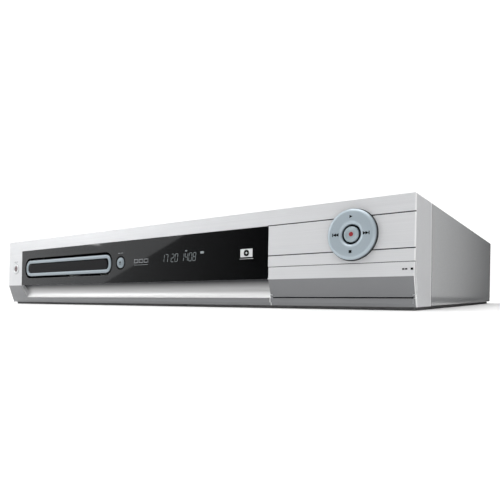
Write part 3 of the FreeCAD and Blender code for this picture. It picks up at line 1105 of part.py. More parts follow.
cradle_shelf = block(("drive_x - 0.5", cradle_front, above("drive_low - cradle_wall")),
                     ("drive_right + 0.5", cradle_back, above("drive_low")))
node("drive_cradle", join(*cradle_sides, *cradle_feet, cradle_shelf))

# Circuit boards on their posts; the main board's chips sit at shares of its length and width
BOARDS = {
    "main_board": (("main_left", "main_start"), ("main_right", "main_end")),
    "power_board": (("power_left", "power_start"), ("power_right", "power_end")),
    "io_board": (("io_left", "io_start"), ("io_right", "io_end")),
}
CHIPS = [(0.183, 0.16, 22, 12), (0.467, 0.14, 20, 12), (0.758, 0.245, 24, 24), (0.16, 0.52, 22, 22),
         (0.817, 0.606, 14, 20), (0.383, 0.803, 30, 14), (0.725, 0.83, 16, 12)]
chips = []
for across, along, wide, deep in CHIPS:
    x = f"main_left + (main_right - main_left) * {across}"
    y = f"main_start + (main_end - main_start) * {along}"
    chips.append(block((f"{x} - {wide} / 2", f"{y} - {deep} / 2", "board_top"),
                       (f"{x} + {wide} / 2", f"{y} + {deep} / 2", "board_top + 1.6")))
power_fins = [block(("power_left + 38", "power_end - 17", "board_top"),
                    ("power_left + 92", "power_end - 14", "board_top + 34"))]
power_fins += [
    block((f"power_left + {39 + 8 * n}", "power_end - 14.5", "board_top + 3"),
          (f"power_left + {40.4 + 8 * n}", "power_end - 6.5", "board_top + 34")) for n in range(7)]
EXTRAS = {"main_board": chips, "power_board": power_fins, "io_board": []}
for name, (low, high) in BOARDS.items():
    drilled = cut(block((*low, "post_top"), (*high, "board_top")),
                  *[rod("1.4", "z", place, "post_top - 1", "post_top + 3") for place in BOARD_POSTS[name]])
    node(name, join(drilled, *EXTRAS[name]) if EXTRAS[name] else drilled)
seats = [(place, "board_top") for place in ALL_BOARD_POSTS]
seats += [(place, above("frame_low + 3")) for place in LOADER_POSTS]
node("chassis_screws", gather(*[
    join(rod("screw_head", "z", place, level, f"{level} + 1.6"),
         rod("screw_shank", "z", place, f"{level} - 6", f"{level} + 1"))
    for place, level in seats]))

# Finned cooler on the processor, and the large parts of the power board
sink_body = [
    block(("sink_x - 16.5", "sink_y - 17", "board_top + 1.6"),
          ("sink_x + 16.5", "sink_y + 17", "board_top + 5.2")),
    block(("sink_x - 12.5", "sink_y - 13", "board_top"),
          ("sink_x + 12.5", "sink_y + 13", "board_top + 2"))]
sink_fins = [
    block((f"sink_x + {4.5 * n - 16.5}", "sink_y - 17", "board_top + 5"),
          (f"sink_x + {4.5 * n - 15.1}", "sink_y + 17", "board_top + 20")) for n in range(8)]
node("processor_heatsink", join(*sink_body, *sink_fins))
coil_x, coil_y = "power_left + 53", "power_start + 20"
node("power_transformer", join(*[
    block((f"{coil_x} - {wide}", f"{coil_y} - {deep}", f"board_top + {low}"),
          (f"{coil_x} + {wide}", f"{coil_y} + {deep}", f"board_top + {high}"))
    for wide, deep, low, high in ((17, 14, 4, 26), (21, 10, 0, 5), (13, 18, 8, 22))]))
CAPACITORS = [("power_left + 14", 34, 9, 30), ("power_left + 18", 14, 6, 18),
              ("power_right - 20", 34, 5, 20), ("power_right - 20", 22, 5, 20),
              ("power_right - 8", 24, 4, 16), ("power_right - 20", 10, 5, 20)]
node("power_capacitors", gather(*[
    rod(str(radius), "z", (x, f"power_start + {along}"), "board_top", f"board_top + {tall}")
    for x, along, radius, tall in CAPACITORS]))

# Every object must have worked out, and every sub-part must be a sound solid
doc.recompute()
failed = [thing.Name for thing in doc.Objects if {"Invalid", "Error"} & set(thing.State)]
if failed:
    raise RuntimeError("these objects failed: " + ", ".join(failed))
for name, thing in NODES.items():
    if thing.Shape.isNull() or not thing.Shape.isValid() or not thing.Shape.Solids:
        raise RuntimeError(name + " has no sound solid")

os.makedirs("parts", exist_ok=True)
for name, thing in NODES.items():
    thing.Shape.exportStep(f"parts/{name}.step")
print(len(NODES), "sub-parts written")
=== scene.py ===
import math

import bmesh
import bpy
import numpy as np
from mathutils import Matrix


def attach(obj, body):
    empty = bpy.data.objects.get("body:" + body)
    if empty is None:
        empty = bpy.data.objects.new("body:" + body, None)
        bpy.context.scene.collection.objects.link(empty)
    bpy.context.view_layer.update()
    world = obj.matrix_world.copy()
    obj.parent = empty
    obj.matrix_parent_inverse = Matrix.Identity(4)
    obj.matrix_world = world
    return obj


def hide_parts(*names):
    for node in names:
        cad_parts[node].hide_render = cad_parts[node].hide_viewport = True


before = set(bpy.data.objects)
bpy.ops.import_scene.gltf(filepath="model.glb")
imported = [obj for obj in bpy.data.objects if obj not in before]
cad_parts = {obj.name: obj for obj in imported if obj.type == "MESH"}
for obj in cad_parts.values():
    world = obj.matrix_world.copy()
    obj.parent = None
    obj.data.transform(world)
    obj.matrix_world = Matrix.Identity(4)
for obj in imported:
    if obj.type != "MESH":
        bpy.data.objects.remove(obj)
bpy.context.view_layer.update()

# Front moulding
# One deep plastic moulding across the whole front, sprayed satin silver and brushed along its length.
# The strip under the cove is painted a darker grey as painted shade, darker towards its top, and the cove is
# painted white as a painted reflection, with painted shade towards its top; painted highlights and painted
# shade also mark its edges, gaps and recesses.
FRONT = -0.1536642
FACE_Z = 0.01945
LEAN = math.radians(2.15)
SEAM_Z = 0.00693
FOOT_Z, SETBACK = 0.002, 0.00516
WINDOW_LEFT, WINDOW_RIGHT = -0.1894, 0.1184
END_X = 0.2142


def linear(code):
    """Linear RGBA of an sRGB hex colour: c/12.92 below 0.04045, else ((c + 0.055) / 1.055) ^ 2.4."""
    parts = [int(code[i:i + 2], 16) / 255 for i in (0, 2, 4)]
    return [c / 12.92 if c <= 0.04045 else ((c + 0.055) / 1.055) ** 2.4 for c in parts] + [1]


def add(tree, kind, inputs=None, **settings):
    """Adds a shader node; an input given as a socket is linked, any other is set."""
    made = tree.nodes.new("ShaderNode" + kind)
    for name, setting in settings.items():
        setattr(made, name, setting)
    for name, given in (inputs or {}).items():
        socket = made.inputs[name]
        if isinstance(given, bpy.types.NodeSocket):
            tree.links.new(given, socket)
        else:
            socket.default_value = given
    return made


def finish_of(name, color, roughness, metallic=0.0, **more):
    """New material: its tree and its Principled shader, with plain starting values."""
    made = bpy.data.materials.new(name)
    made.use_nodes = True
    tree = made.node_tree
    shader = tree.nodes["Principled BSDF"]
    shader.inputs["Base Color"].default_value = linear(color)
    shader.inputs["Roughness"].default_value = roughness
    shader.inputs["Metallic"].default_value = metallic
    for name, setting in more.items():
        shader.inputs[name.replace("_", " ")].default_value = setting
    return made, tree, shader


def place(tree, scale=(1, 1, 1)):
    """Object coordinates, in metres, scaled."""
    coord = add(tree, "TexCoord")
    return add(tree, "Mapping", {"Vector": coord.outputs["Object"], "Scale": scale}).outputs["Vector"]


def noise(tree, vector, scale, detail=4.0, rough=0.55):
    """Fractal noise, 0 to 1."""
    return add(tree, "TexNoise", {"Vector": vector, "Scale": scale, "Detail": detail,
                                  "Roughness": rough}).outputs["Fac"]


def ramp(tree, factor, low, high, start, end):
    """Straight map of a factor from low..high to start..end, held at its ends."""
    return add(tree, "MapRange", {"Value": factor, "From Min": low, "From Max": high,
                                  "To Min": start, "To Max": end}).outputs["Result"]


def mix(tree, factor, first, second):
    """Mix of two colours."""
    made = tree.nodes.new("ShaderNodeMix")
    made.data_type = "RGBA"
    for socket, given in ((made.inputs[0], factor), (made.inputs[6], first), (made.inputs[7], second)):
        if isinstance(given, bpy.types.NodeSocket):
            tree.links.new(given, socket)
        else:
            socket.default_value = given
    return made.outputs[2]


def relief(tree, shader, height, depth, soften=0.0):
    """Bump of that depth in metres over edges rounded by the radius soften."""
    inputs = {"Height": height, "Strength": 1.0, "Distance": depth}
    if soften:
        inputs["Normal"] = add(tree, "Bevel", {"Radius": soften}, samples=6).outputs["Normal"]
    bump = add(tree, "Bump", inputs)
    tree.links.new(bump.outputs["Normal"], shader.inputs["Normal"])


def dress(made, *names):
    """Gives CAD nodes that material."""
    for name in names:
        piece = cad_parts[name]
        if not piece.material_slots:
            piece.data.materials.append(made)
        for held in piece.material_slots:
            held.material = made


def axis_of(tree, letter):
    """One Object coordinate, in metres."""
    coord = add(tree, "TexCoord")
    split = add(tree, "SeparateXYZ", {"Vector": coord.outputs["Object"]})
    return split.outputs[letter]


def within(tree, value, low, high, blur=0.00005):
    """1 where a value lies between low and high, falling to 0 over blur at each end."""
    up = ramp(tree, value, low - blur, low + blur, 0, 1)
    down = ramp(tree, value, high - blur, high + blur, 1, 0)
    return add(tree, "Math", {0: up, 1: down}, operation="MULTIPLY").outputs[0]


def both(tree, *masks):
    """Product of masks."""
    made = masks[0]
    for mask in masks[1:]:
        made = add(tree, "Math", {0: made, 1: mask}, operation="MULTIPLY").outputs[0]
    return made


silver, tree, shader = finish_of("brushed_silver", "DCDDDE", 0.34, 0.3, Coat_Weight=0.1, Coat_Roughness=0.25)
hair = noise(tree, place(tree, (14, 2600, 2600)), 1.0, 6.0, 0.65)
streak = noise(tree, place(tree, (3, 420, 420)), 1.0, 3.0)
tone = mix(tree, ramp(tree, hair, 0.3, 0.7, 0, 1), linear("D9DADC"), linear("E0E1E3"))
tone = mix(tree, ramp(tree, streak, 0.35, 0.65, 0, 0.08), tone, linear("F0F0F0"))
across, back, height = (axis_of(tree, letter) for letter in "XYZ")
facing = add(tree, "SeparateXYZ", {"Vector": add(tree, "TexCoord").outputs["Normal"]}).outputs["Y"]
forward = ramp(tree, facing, -0.6, -0.5, 1, 0)
chamfer = SETBACK / (FACE_Z - FOOT_Z)
sloped = add(tree, "Math", {0: height, 1: chamfer, 2: back}, operation="MULTIPLY_ADD").outputs[0]
flush = FRONT + SETBACK * FACE_Z / (FACE_Z - FOOT_Z)
strip = both(tree, forward, within(tree, sloped, -1, flush + 0.00012), within(tree, height, -1, FACE_Z))
in_cove = both(tree, forward, within(tree, across, WINDOW_LEFT - 0.0001, WINDOW_RIGHT),
               within(tree, back, FRONT + 0.0008, FRONT + 0.009),
               within(tree, sloped, flush + 0.00012, 1), within(tree, height, SEAM_Z, FACE_Z + 0.0003))
# Painted reflection and shade: the cove is painted white, and painted shade darkens it towards its top.
tone = mix(tree, in_cove, tone, linear("FFFFFF"))
cove_painted_shade = both(tree, in_cove, ramp(tree, height, SEAM_Z + 0.001, FACE_Z - 0.0005, 0, 1))
tone = mix(tree, cove_painted_shade, tone, linear("1E2024"))
# Painted shade: the down-facing chamfer strip is painted a darker grey, darker towards its top under the
# cove.
chamfer_painted_shade = mix(tree, ramp(tree, height, FOOT_Z, 0.009, 0, 1), linear("909193"), linear("7D7E80"))
tone = mix(tree, strip, tone, chamfer_painted_shade)
# Painted highlights: the front's right end and the post beside the window are painted near white.
rim = both(tree, forward, within(tree, across, END_X, 1))
post = both(tree, forward, within(tree, across, WINDOW_RIGHT - 0.0005, WINDOW_RIGHT + 0.00015),
            within(tree, height, -1, FACE_Z))
painted_edge_highlight = add(tree, "Math", {0: rim, 1: post}, operation="ADD").outputs[0]
tone = mix(tree, ramp(tree, painted_edge_highlight, 0, 1, 0, 0.8), tone, linear("FFFFFF"))
# Painted shade: the flap's lower seam, the grooves and the dial's recess floor are painted dark grey.
low_seam = both(tree, within(tree, across, WINDOW_RIGHT + 0.0002, END_X),
                within(tree, height, 0.0059, 0.0084), within(tree, sloped, flush + 0.0002, 1))
behind = add(tree, "Math", {0: height, 1: -math.tan(LEAN), 2: back}, operation="MULTIPLY_ADD").outputs[0]
face_line = FRONT - FACE_Z * math.tan(LEAN)
below_face = within(tree, behind, face_line + 0.00022, face_line + 0.0045)
gap_painted_shade = low_seam
for right, low, high in ((0.21475, 0.0285, 0.0645), (END_X, FACE_Z + 0.003, 0.0285)):
    sunk = both(tree, below_face, within(tree, across, WINDOW_RIGHT, right), within(tree, height, low, high))
    gap_painted_shade = add(tree, "Math", {0: gap_painted_shade, 1: sunk}, operation="MAXIMUM").outputs[0]
tone = mix(tree, gap_painted_shade, tone, linear("3C3D40"))
# Painted shade: the walls of the openings behind the face across the window are painted near black.
recess_painted_shade = both(tree, within(tree, behind, face_line + 0.0005, 1),
              within(tree, across, WINDOW_LEFT, WINDOW_RIGHT),
              within(tree, height, FACE_Z + 0.0003, 0.064))
tone = mix(tree, recess_painted_shade, tone, linear("0C0D0E"))
return_edge = FRONT + 0.0362
# Painted highlight: the back edge of the right-hand return, at the seam with the cover, is painted white.
side_edge_highlight = both(tree, within(tree, back, return_edge - 0.0016, 1), within(tree, across, 0.2148, 1))
tone = mix(tree, side_edge_highlight, tone, linear("FFFFFF"))
tree.links.new(tone, shader.inputs["Base Color"])
tree.links.new(ramp(tree, hair, 0.3, 0.7, 0.42, 0.3), shader.inputs["Roughness"])
relief(tree, shader, hair, 0.00001, 0.00015)
dress(silver, "front_panel", "front_av_door")

# Smoked window
# A polished acrylic plate let into the moulding, dark enough to hide the display's works.
# It shows faint wipe marks and a slightly softened edge.
made, smoked, shader = finish_of("smoked_acrylic", "090A0B", 0.06, 0.0, Coat_Weight=0.6, Coat_Roughness=0.02)
wipe = noise(smoked, place(smoked, (30, 30, 60)), 1.0, 3.0)
smoked.links.new(ramp(smoked, wipe, 0.3, 0.7, 0.03, 0.05), shader.inputs["Roughness"])
smoked.links.new(mix(smoked, wipe, linear("060708"), linear("0A0B0C")), shader.inputs["Base Color"])
relief(smoked, shader, wipe, 0.000004, 0.0003)
dress(made, "window_lens")

# Display figures
# The fluorescent tube's lit segments, seen through the window as pale leaning figures.
# Each figure is made of up to seven six-sided bars, with two small plain marks beside them.
FIGURES = ("17", "20", "1408")
SEGMENTS = {"0": "abcdef", "1": "bc", "2": "abged", "4": "fgbc", "7": "abc", "8": "abcdefg"}


def face(x, depth, up):
    """Millimetres on the leaning face to metres: depth runs behind it and up runs along it."""
    x, depth, up = np.broadcast_arrays(x, depth, up)
    return np.stack([x / 1000, FRONT + (depth * math.cos(LEAN) + up * math.sin(LEAN)) / 1000,
                     FACE_Z + (up * math.cos(LEAN) - depth * math.sin(LEAN)) / 1000], -1).astype(float)


def flat_shapes(name, outlines, depth, body, made, thick=0.03):
    """Thin printed or inlaid shapes on the face: each outline's front and the band round it.

    An outline is an (n, 2) array of x and up in millimetres, running anticlockwise seen from the front.
    """
    points, faces = [], []
    for line in outlines:
        line = np.asarray(line, float)
        start, count = sum(len(p) for p in points), len(line)
        points += [face(line[:, 0], depth, line[:, 1]), face(line[:, 0], depth + thick, line[:, 1])]
        front = np.arange(start, start + count)
        back = front + count
        faces.append(list(front))
        faces.append(list(back[::-1]))
        faces += [[front[i], back[i], back[(i + 1) % count], front[(i + 1) % count]] for i in range(count)]
    mesh = bpy.data.meshes.new(name)
    mesh.from_pydata(np.concatenate(points).tolist(), [], [[int(v) for v in f] for f in faces])
    piece = bpy.data.objects.new(name, mesh)
    bpy.context.scene.collection.objects.link(piece)
    mesh.materials.append(made)
    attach(piece, body)


def bar(start, end, width):
    """Six-sided bar from start to end with pointed tips."""
    start, end = np.array(start, float), np.array(end, float)
    along = (end - start) / np.linalg.norm(end - start)
    side = np.array([-along[1], along[0]]) * width / 2
    tip = along * width / 2
    return np.array([start, start + tip - side, end - tip - side, end, end - tip + side, start + tip + side])


def figures(groups, left, low, tall, wide, pitch, gap, lean=0.12):
    """Seven-bar figures: corners at 0 or wide across and 0, tall/2 or tall up, sheared by lean."""
    spots = {"a": ((0, 2), (1, 2)), "b": ((1, 1), (1, 2)), "c": ((1, 0), (1, 1)), "d": ((0, 0), (1, 0)),
             "e": ((0, 0), (0, 1)), "f": ((0, 1), (0, 2)), "g": ((0, 1), (1, 1))}
    made = []
    for group in groups:
        for letter in group:
            for segment in SEGMENTS[letter]:
                ends = [np.array([left + u * wide + lean * v * tall / 2, low + v * tall / 2])
                        for u, v in spots[segment]]
                inset = (ends[1] - ends[0]) * 0.06
                made.append(bar(ends[0] + inset, ends[1] - inset, 0.32))
            left += pitch
        left += gap
    return made


glow, tree, shader = finish_of("display_segment", "8C9395", 0.5)
grid = add(tree, "TexWave", {"Vector": place(tree, (1, 1, 1)), "Scale": 900.0, "Distortion": 0.0})
tree.links.new(mix(tree, grid.outputs["Fac"], linear("767E80"), linear("9CA3A5")),
               shader.inputs["Base Color"])
flat_shapes("display_figures", figures(FIGURES, 17.5, 15.6, 6.1, 2.7, 4.05, 2.43), -0.02, "casing", glow)
marks = [np.array([[58.4, 20.6], [61.8, 20.6], [61.8, 22.2], [58.4, 22.2]]),
         np.array([[43.2, 23.0], [45.0, 23.0], [45.0, 23.9], [43.2, 23.9]])]
flat_shapes("display_marks", marks, -0.02, "casing", glow)

# Window prints
# Small plain marks screen-printed on the window: a pale badge with a dark disc, and three outlined
# boxes over a line. They are hard ink in white, black and grey, slightly uneven.
ink_and_highlight, tree, shader = finish_of("white_ink_and_highlight", "D8DADB", 0.55)
tree.links.new(mix(tree, noise(tree, place(tree, (900, 900, 900)), 1.0), linear("B9BCBE"), linear("E4E6E7")),
               shader.inputs["Base Color"])


def circle(x, up, radius, count=40):
    """Circle: x + r cos a, up + r sin a, anticlockwise."""
    a = np.linspace(0, 2 * np.pi, count, endpoint=False)
    return np.stack([x + radius * np.cos(a), up + radius * np.sin(a)], -1)


def arc_band(x, up, inner, outer, start, end, count=40):
    """Band between two radii from one angle to another, in degrees."""
    a = np.radians(np.linspace(start, end, count))
    outside = np.stack([x + outer * np.cos(a), up + outer * np.sin(a)], -1)
    inside = np.stack([x + inner * np.cos(a[::-1]), up + inner * np.sin(a[::-1])], -1)
    return np.concatenate([outside, inside])


def rectangle(left, low, right, high):
    """Rectangle, anticlockwise."""
    return np.array([[left, low], [right, low], [right, high], [left, high]], float)


flat_shapes("window_badge", [rectangle(95.4, 15.9, 105.6, 21.6), rectangle(94.6, 14.6, 106.4, 14.85)],
            -0.02, "casing", ink_and_highlight)
dark_ink_and_shade, tree, shader = finish_of("dark_ink_and_shade", "08080A", 0.7, 0.0, Specular_IOR_Level=0.1)
tree.links.new(mix(tree, noise(tree, place(tree, (900, 900, 900)), 1.0), linear("050506"), linear("0C0C0E")),
               shader.inputs["Base Color"])
flat_shapes("window_badge_disc", [arc_band(100.5, 18.75, 0.7, 2.3, 0, 178),
                                  arc_band(100.5, 18.75, 0.7, 2.3, 180, 358)],
            -0.045, "casing", dark_ink_and_shade)
frame_lines = []
for left in (-14.6, -8.6, -2.6):
    for low, right, high in ((0, 4.9, 0.55), (2.65, 4.9, 3.2)):
        frame_lines.append(rectangle(left, 16.3 + low, left + right, 16.3 + high))
    frame_lines += [rectangle(left, 16.85, left + 0.5, 18.95),
                    rectangle(left + 4.4, 16.85, left + 4.9, 18.95)]
frame_lines.append(rectangle(-14.4, 14.5, 2.2, 14.8))
grey_ink, tree, shader = finish_of("grey_ink", "8A8D90", 0.5)
tree.links.new(mix(tree, noise(tree, place(tree), 1200.0), linear("74777A"), linear("8A8D90")),
               shader.inputs["Base Color"])
flat_shapes("window_boxes", frame_lines, -0.02, "casing", grey_ink)

# Tray door
# A pale satin frame with rounded corners, crowned along its edge, round a dark bar that is let in flush.
# Both are moulded separately and clipped to the tray.
TRAY_X, DOOR_UP = -112.8, 17.35


def rounded_path(half_x, half_up, corner, count=14):
    """Rounded rectangle about the origin as unit steps: each corner is a quarter circle."""
    a = np.linspace(0, np.pi / 2, count)
    quarter = np.stack([np.cos(a), np.sin(a)], -1)
    turns = [np.array([[1, 0], [0, 1]]), np.array([[0, -1], [1, 0]]), np.array([[-1, 0], [0, -1]]),
             np.array([[0, 1], [-1, 0]])]
    signs = [(1, 1), (-1, 1), (-1, -1), (1, -1)]
    inner = np.array([half_x - corner, half_up - corner])
    return np.concatenate([quarter @ turn.T * corner + inner * sign for turn, sign in zip(turns, signs)])


def shell_mesh(name, points):
    """Quads over a grid of points (rows, columns, 3), closed round its columns."""
    rows, columns = points.shape[:2]
    r, c = np.meshgrid(np.arange(rows - 1), np.arange(columns), indexing="ij")
    n = (c + 1) % columns
    faces = np.stack([r * columns + c, r * columns + n, (r + 1) * columns + n, (r + 1) * columns + c], -1)
    mesh = bpy.data.meshes.new(name)
    mesh.from_pydata(points.reshape(-1, 3).tolist(), [], faces.reshape(-1, 4).tolist())
    return mesh


def solid_piece(name, points, body, made, *hidden, crease=40):
    """Piece from a closed grid: doubles merged, normals turned outwards, smooth up to the crease angle."""
    mesh = shell_mesh(name, points)
    work = bmesh.new()
    work.from_mesh(mesh)
    bmesh.ops.remove_doubles(work, verts=work.verts, dist=0.000002)
    bmesh.ops.recalc_face_normals(work, faces=work.faces)
    work.to_mesh(mesh)
    work.free()
    mesh.shade_smooth()
    mesh.set_sharp_from_angle(angle=math.radians(crease))
    piece = bpy.data.objects.new(name, mesh)
    bpy.context.scene.collection.objects.link(piece)
    mesh.materials.append(made)
    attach(piece, body)
    if hidden:
        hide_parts(*hidden)


def soft_profile(corners, radius, count=6):
    """Profile through corners, each rounded by a quadratic curve that starts radius before it."""
    corners = np.asarray(corners, float)
    line = [corners[:1]]
    for before, corner, after in zip(corners[:-2], corners[1:-1], corners[2:]):
        into, out = before - corner, after - corner
        reach = min(radius, np.linalg.norm(into) / 2.2, np.linalg.norm(out) / 2.2)
        start = corner + into / np.linalg.norm(into) * reach
        end = corner + out / np.linalg.norm(out) * reach
        t = np.linspace(0, 1, count)[:, None]
        line.append((1 - t) ** 2 * start + 2 * t * (1 - t) * corner + t ** 2 * end)
    line.append(corners[-1:])
    return np.concatenate(line)


def plate(name, half_x, half_up, corner, profile, x, up, body, made, *hidden):
    """Rounded plate on the face: its outline moves in by each profile step's inset, at that step's depth."""
    rows = []
    for inset, depth in profile:
        line = rounded_path(max(half_x - inset, half_x - half_up + 0.01), max(half_up - inset, 0.001),
                            max(corner - inset, 0.0005))
        rows.append(face(x + line[:, 0], depth, up + line[:, 1]))
    solid_piece(name, np.stack(rows), body, made, *hidden)


def satin(name, shade_from, shade_to, low="A2AFB7", high="B6C2CA", dark="16181A"):
    """Pale satin paint with painted shade: it turns to a dark tone between two depths, in mm."""
    made, tree, shader = finish_of(name, low, 0.34, 0.3, Coat_Weight=0.3, Coat_Roughness=0.12)
    fleck = noise(tree, place(tree, (1, 1, 1)), 5200.0, 2.0)
    back, height = axis_of(tree, "Y"), axis_of(tree, "Z")
    sine, cosine = math.sin(LEAN), math.cos(LEAN)
    rise = add(tree, "Math", {0: height, 1: -sine, 2: FACE_Z * sine}, operation="MULTIPLY_ADD")
    behind = add(tree, "Math", {0: back, 1: cosine, 2: -FRONT * cosine}, operation="MULTIPLY_ADD")
    depth = add(tree, "Math", {0: rise.outputs[0], 1: behind.outputs[0]}, operation="ADD").outputs[0]
    tone = mix(tree, fleck, linear(low), linear(high))
    # Painted shade: the deeper walls and sides turn to the dark tone.
    tone = mix(tree, ramp(tree, depth, shade_from / 1000, shade_to / 1000, 0, 1), tone, linear(dark))
    tree.links.new(tone, shader.inputs["Base Color"])
    tree.links.new(ramp(tree, fleck, 0.3, 0.7, 0.28, 0.38), shader.inputs["Roughness"])
    relief(tree, shader, fleck, 0.000003)
    return made


door_profile = soft_profile([
    (8.59, 3.28), (0, 3.28), (0, 1.2), (0.9, -0.28), (3.4, -0.28), (4.35, 1.39), (8.59, 1.39)], 0.8)
# Painted shade: the frame's outer edge turns dark from the face inwards.
plate("tray_door_face", 68.5, 8.6, 7.6, door_profile, TRAY_X, DOOR_UP, "tray",
      satin("door_satin", 0.0, 0.6, "8C989F", "9CA8AF"), "tray_door_frame")
dark_bar, tree, shader = finish_of("dark_satin_bar", "1C1C1E", 0.7, 0.0, Specular_IOR_Level=0.12)
fleck = noise(tree, place(tree, (300, 2000, 2000)), 1.0, 3.0)
tree.links.new(mix(tree, fleck, linear("1B1B1C"), linear("242426")), shader.inputs["Base Color"])
relief(tree, shader, fleck, 0.000004)
bar_profile = soft_profile([(5.1, 1.38), (0, 1.38), (0, 0.35), (0.6, 0.12), (5.1, 0.05)], 0.4)
plate("tray_door_bar", 62.7, 5.1, 4.4, bar_profile, TRAY_X, DOOR_UP - 0.95, "tray", dark_bar,
      "tray_door_insert")

# Ring control
# A thick four-way ring with a softly rounded rim, in pale satin silver, that tilts on its spring plate.
# The four play marks are pad-printed in black, and the middle button carries a red dot.
DIAL_X, DIAL_UP = 178.1, 25.45


def turned(name, profile, x, up, body, made, *hidden, count=96):
    """Turned piece on the face: (x + r cos a, depth, up + r sin a) for each radius and depth."""
    a = np.linspace(0, 2 * np.pi, count, endpoint=False)
    profile = np.asarray(profile, float)
    points = face(x + profile[:, :1] * np.cos(a), profile[:, 1:], up + profile[:, :1] * np.sin(a))
    solid_piece(name, points, body, made, *hidden)


ring_profile = soft_profile([
    (7, 8.35), (7, 1), (5.7, 0.1), (5.7, -2.4), (7.3, -3.6), (13.9, -3.6), (15.3, -2.6), (15.3, 0.8),
    (9.2, 0.8), (9.2, 8.35), (7, 8.35)], 0.9)
# Painted shade: the ring's outer wall and the wall of its centre hole turn to a dark grey.
turned("ring_face", ring_profile, DIAL_X, DIAL_UP, "dial_ring",
       satin("ring_satin", -2.8, -1.8, dark="454C50"), "dial_ring", count=144)


def triangle(x, up, size, way):
    """Solid triangle pointing along +x for way 1 or -x for -1."""
    tail, tip = x - way * size / 2, x + way * size / 2
    line = np.array([[tail, up - size / 2], [tip, up], [tail, up + size / 2]])
    return line if way > 0 else line[::-1]


MARK_OUT = 10.4
ring_marks = [triangle(DIAL_X + 0.1, DIAL_UP + MARK_OUT, 1.9, 1),
              rectangle(DIAL_X - 0.9, DIAL_UP - MARK_OUT - 0.9, DIAL_X + 0.9, DIAL_UP - MARK_OUT + 0.9)]
for way in (-1, 1):
    x = DIAL_X + way * 9.4
    ring_marks += [triangle(x - way * 0.8, DIAL_UP, 2.1, way), triangle(x + way * 0.8, DIAL_UP, 2.1, way),
                   rectangle(x + way * 1.95 - 0.3, DIAL_UP - 1.05, x + way * 1.95 + 0.3, DIAL_UP + 1.05)]
flat_shapes("ring_marks", ring_marks, -3.62, "dial_ring", dark_ink_and_shade)

record_profile = soft_profile([
    (0, -2.8), (2.6, -2.85), (4.1, -3.2), (4.8, -2.5), (4.8, 4.4), (6.4, 4.4), (6.4, 5.6), (1.6, 5.6),
    (1.6, 7.8), (0, 7.8)], 0.5)
# Painted shade: the cap's side, down in the ring's hole, turns to a dark grey.
turned("record_cap", record_profile, DIAL_X, DIAL_UP, "record_button",
       satin("cap_satin", -2.4, -1.2, "9AA8AE", "ACB9BF", "33383B"), "record_button")
red, tree, shader = finish_of("red_dot", "8E2A2E", 0.35)
tree.links.new(mix(tree, noise(tree, place(tree), 1500.0), linear("86252A"), linear("982F34")),
               shader.inputs["Base Color"])
flat_shapes("record_dot", [circle(DIAL_X, DIAL_UP, 1.35)], -2.86, "record_button", red)

# Power and open buttons
# Short caps in a pale and a darker satin finish, standing in round holes in the moulding and the window.
# Each has a printed mark and two short bars for a label above it, and a ring round it: a white one round the
# power cap as a painted highlight of its hole's edge, a dark one round the open cap as painted shade in its
# hole.
POWER_X, POWER_UP = -201.3, 17.85
OPEN_X, OPEN_UP = -31.9, 17.4
for name, x, up, radius, flange, top, shade_from, low, high in (
        ("power", POWER_X, POWER_UP, 5.1, 6.3, [(0, 0.25), (3.3, 0.15), (3.9, -0.8), (4.7, -0.8)], -0.2,
         "E2E4E6", "F0F1F2"),
        ("eject", OPEN_X, OPEN_UP, 4.6, 7.2, [(0, -0.5), (3.2, -0.4)], 0.3, "7E8A92", "8E9AA1")):
    cap = soft_profile(top + [(radius, -0.1), (radius, 4.4), (flange, 4.4), (flange, 5.6), (1.6, 5.6),
                              (1.6, 7.8), (0, 7.8)], 0.6)
    # Painted shade: each cap's side turns to a dark tone below its top.
    turned(name + "_cap", cap, x, up, name + "_button",
           satin(name + "_satin", shade_from, shade_from + 0.8, low, high), name + "_button")
dish, tree, shader = finish_of("power_dish", "8C7A7A", 0.4)
tree.links.new(mix(tree, noise(tree, place(tree), 1500.0), linear("847072"), linear("968486")),
               shader.inputs["Base Color"])
flat_shapes("power_dish", [circle(POWER_X, POWER_UP, 2.9)], 0.12, "power_button", dish)
flat_shapes("eject_mark", [np.array([[-33.3, 17.2], [-30.5, 17.2], [-31.9, 19.0]]),
                           rectangle(-33.3, 16.0, -30.5, 16.55)], -0.52, "eject_button", dark_ink_and_shade)
flat_shapes("power_mark", [arc_band(POWER_X, 17.6, 1.5, 1.95, -235, 55),
                           rectangle(-201.52, 17.9, -201.08, 19.9)], 0.08, "power_button", dark_ink_and_shade)
# Painted highlight: a white ring round the power cap's hole stands for its lit edge.
flat_shapes("power_hole_highlight", [arc_band(POWER_X, POWER_UP, 5.5, 6.3, 0, 179),
                            arc_band(POWER_X, POWER_UP, 5.5, 6.3, 180, 359)], -0.03, "casing", ink_and_highlight)
# Painted shade: a dark ring round the open cap stands for the shade in its hole.
flat_shapes("eject_ring", [arc_band(OPEN_X, OPEN_UP, 4.72, 6.1, 0, 179.5),
                           arc_band(OPEN_X, OPEN_UP, 4.72, 6.1, 180, 359.5)], -0.02, "casing", dark_ink_and_shade)
flat_shapes("power_label", [rectangle(-204.6, 24.7, -201.6, 25.3), rectangle(-201.0, 24.7, -198.0, 25.3)],
            -0.02, "casing", grey_ink)
flat_shapes("open_label", [rectangle(-35.0, 25.4, -32.6, 25.9), rectangle(-31.9, 25.4, -28.8, 25.9)],
            -0.02, "casing", grey_ink)
flat_shapes("flap_label", [rectangle(207.7, 3.6, 209.0, 4.5), rectangle(209.3, 3.6, 210.6, 4.5),
                           rectangle(212.4, 3.4, 213.8, 4.7)], -0.02, "av_door", dark_ink_and_shade)

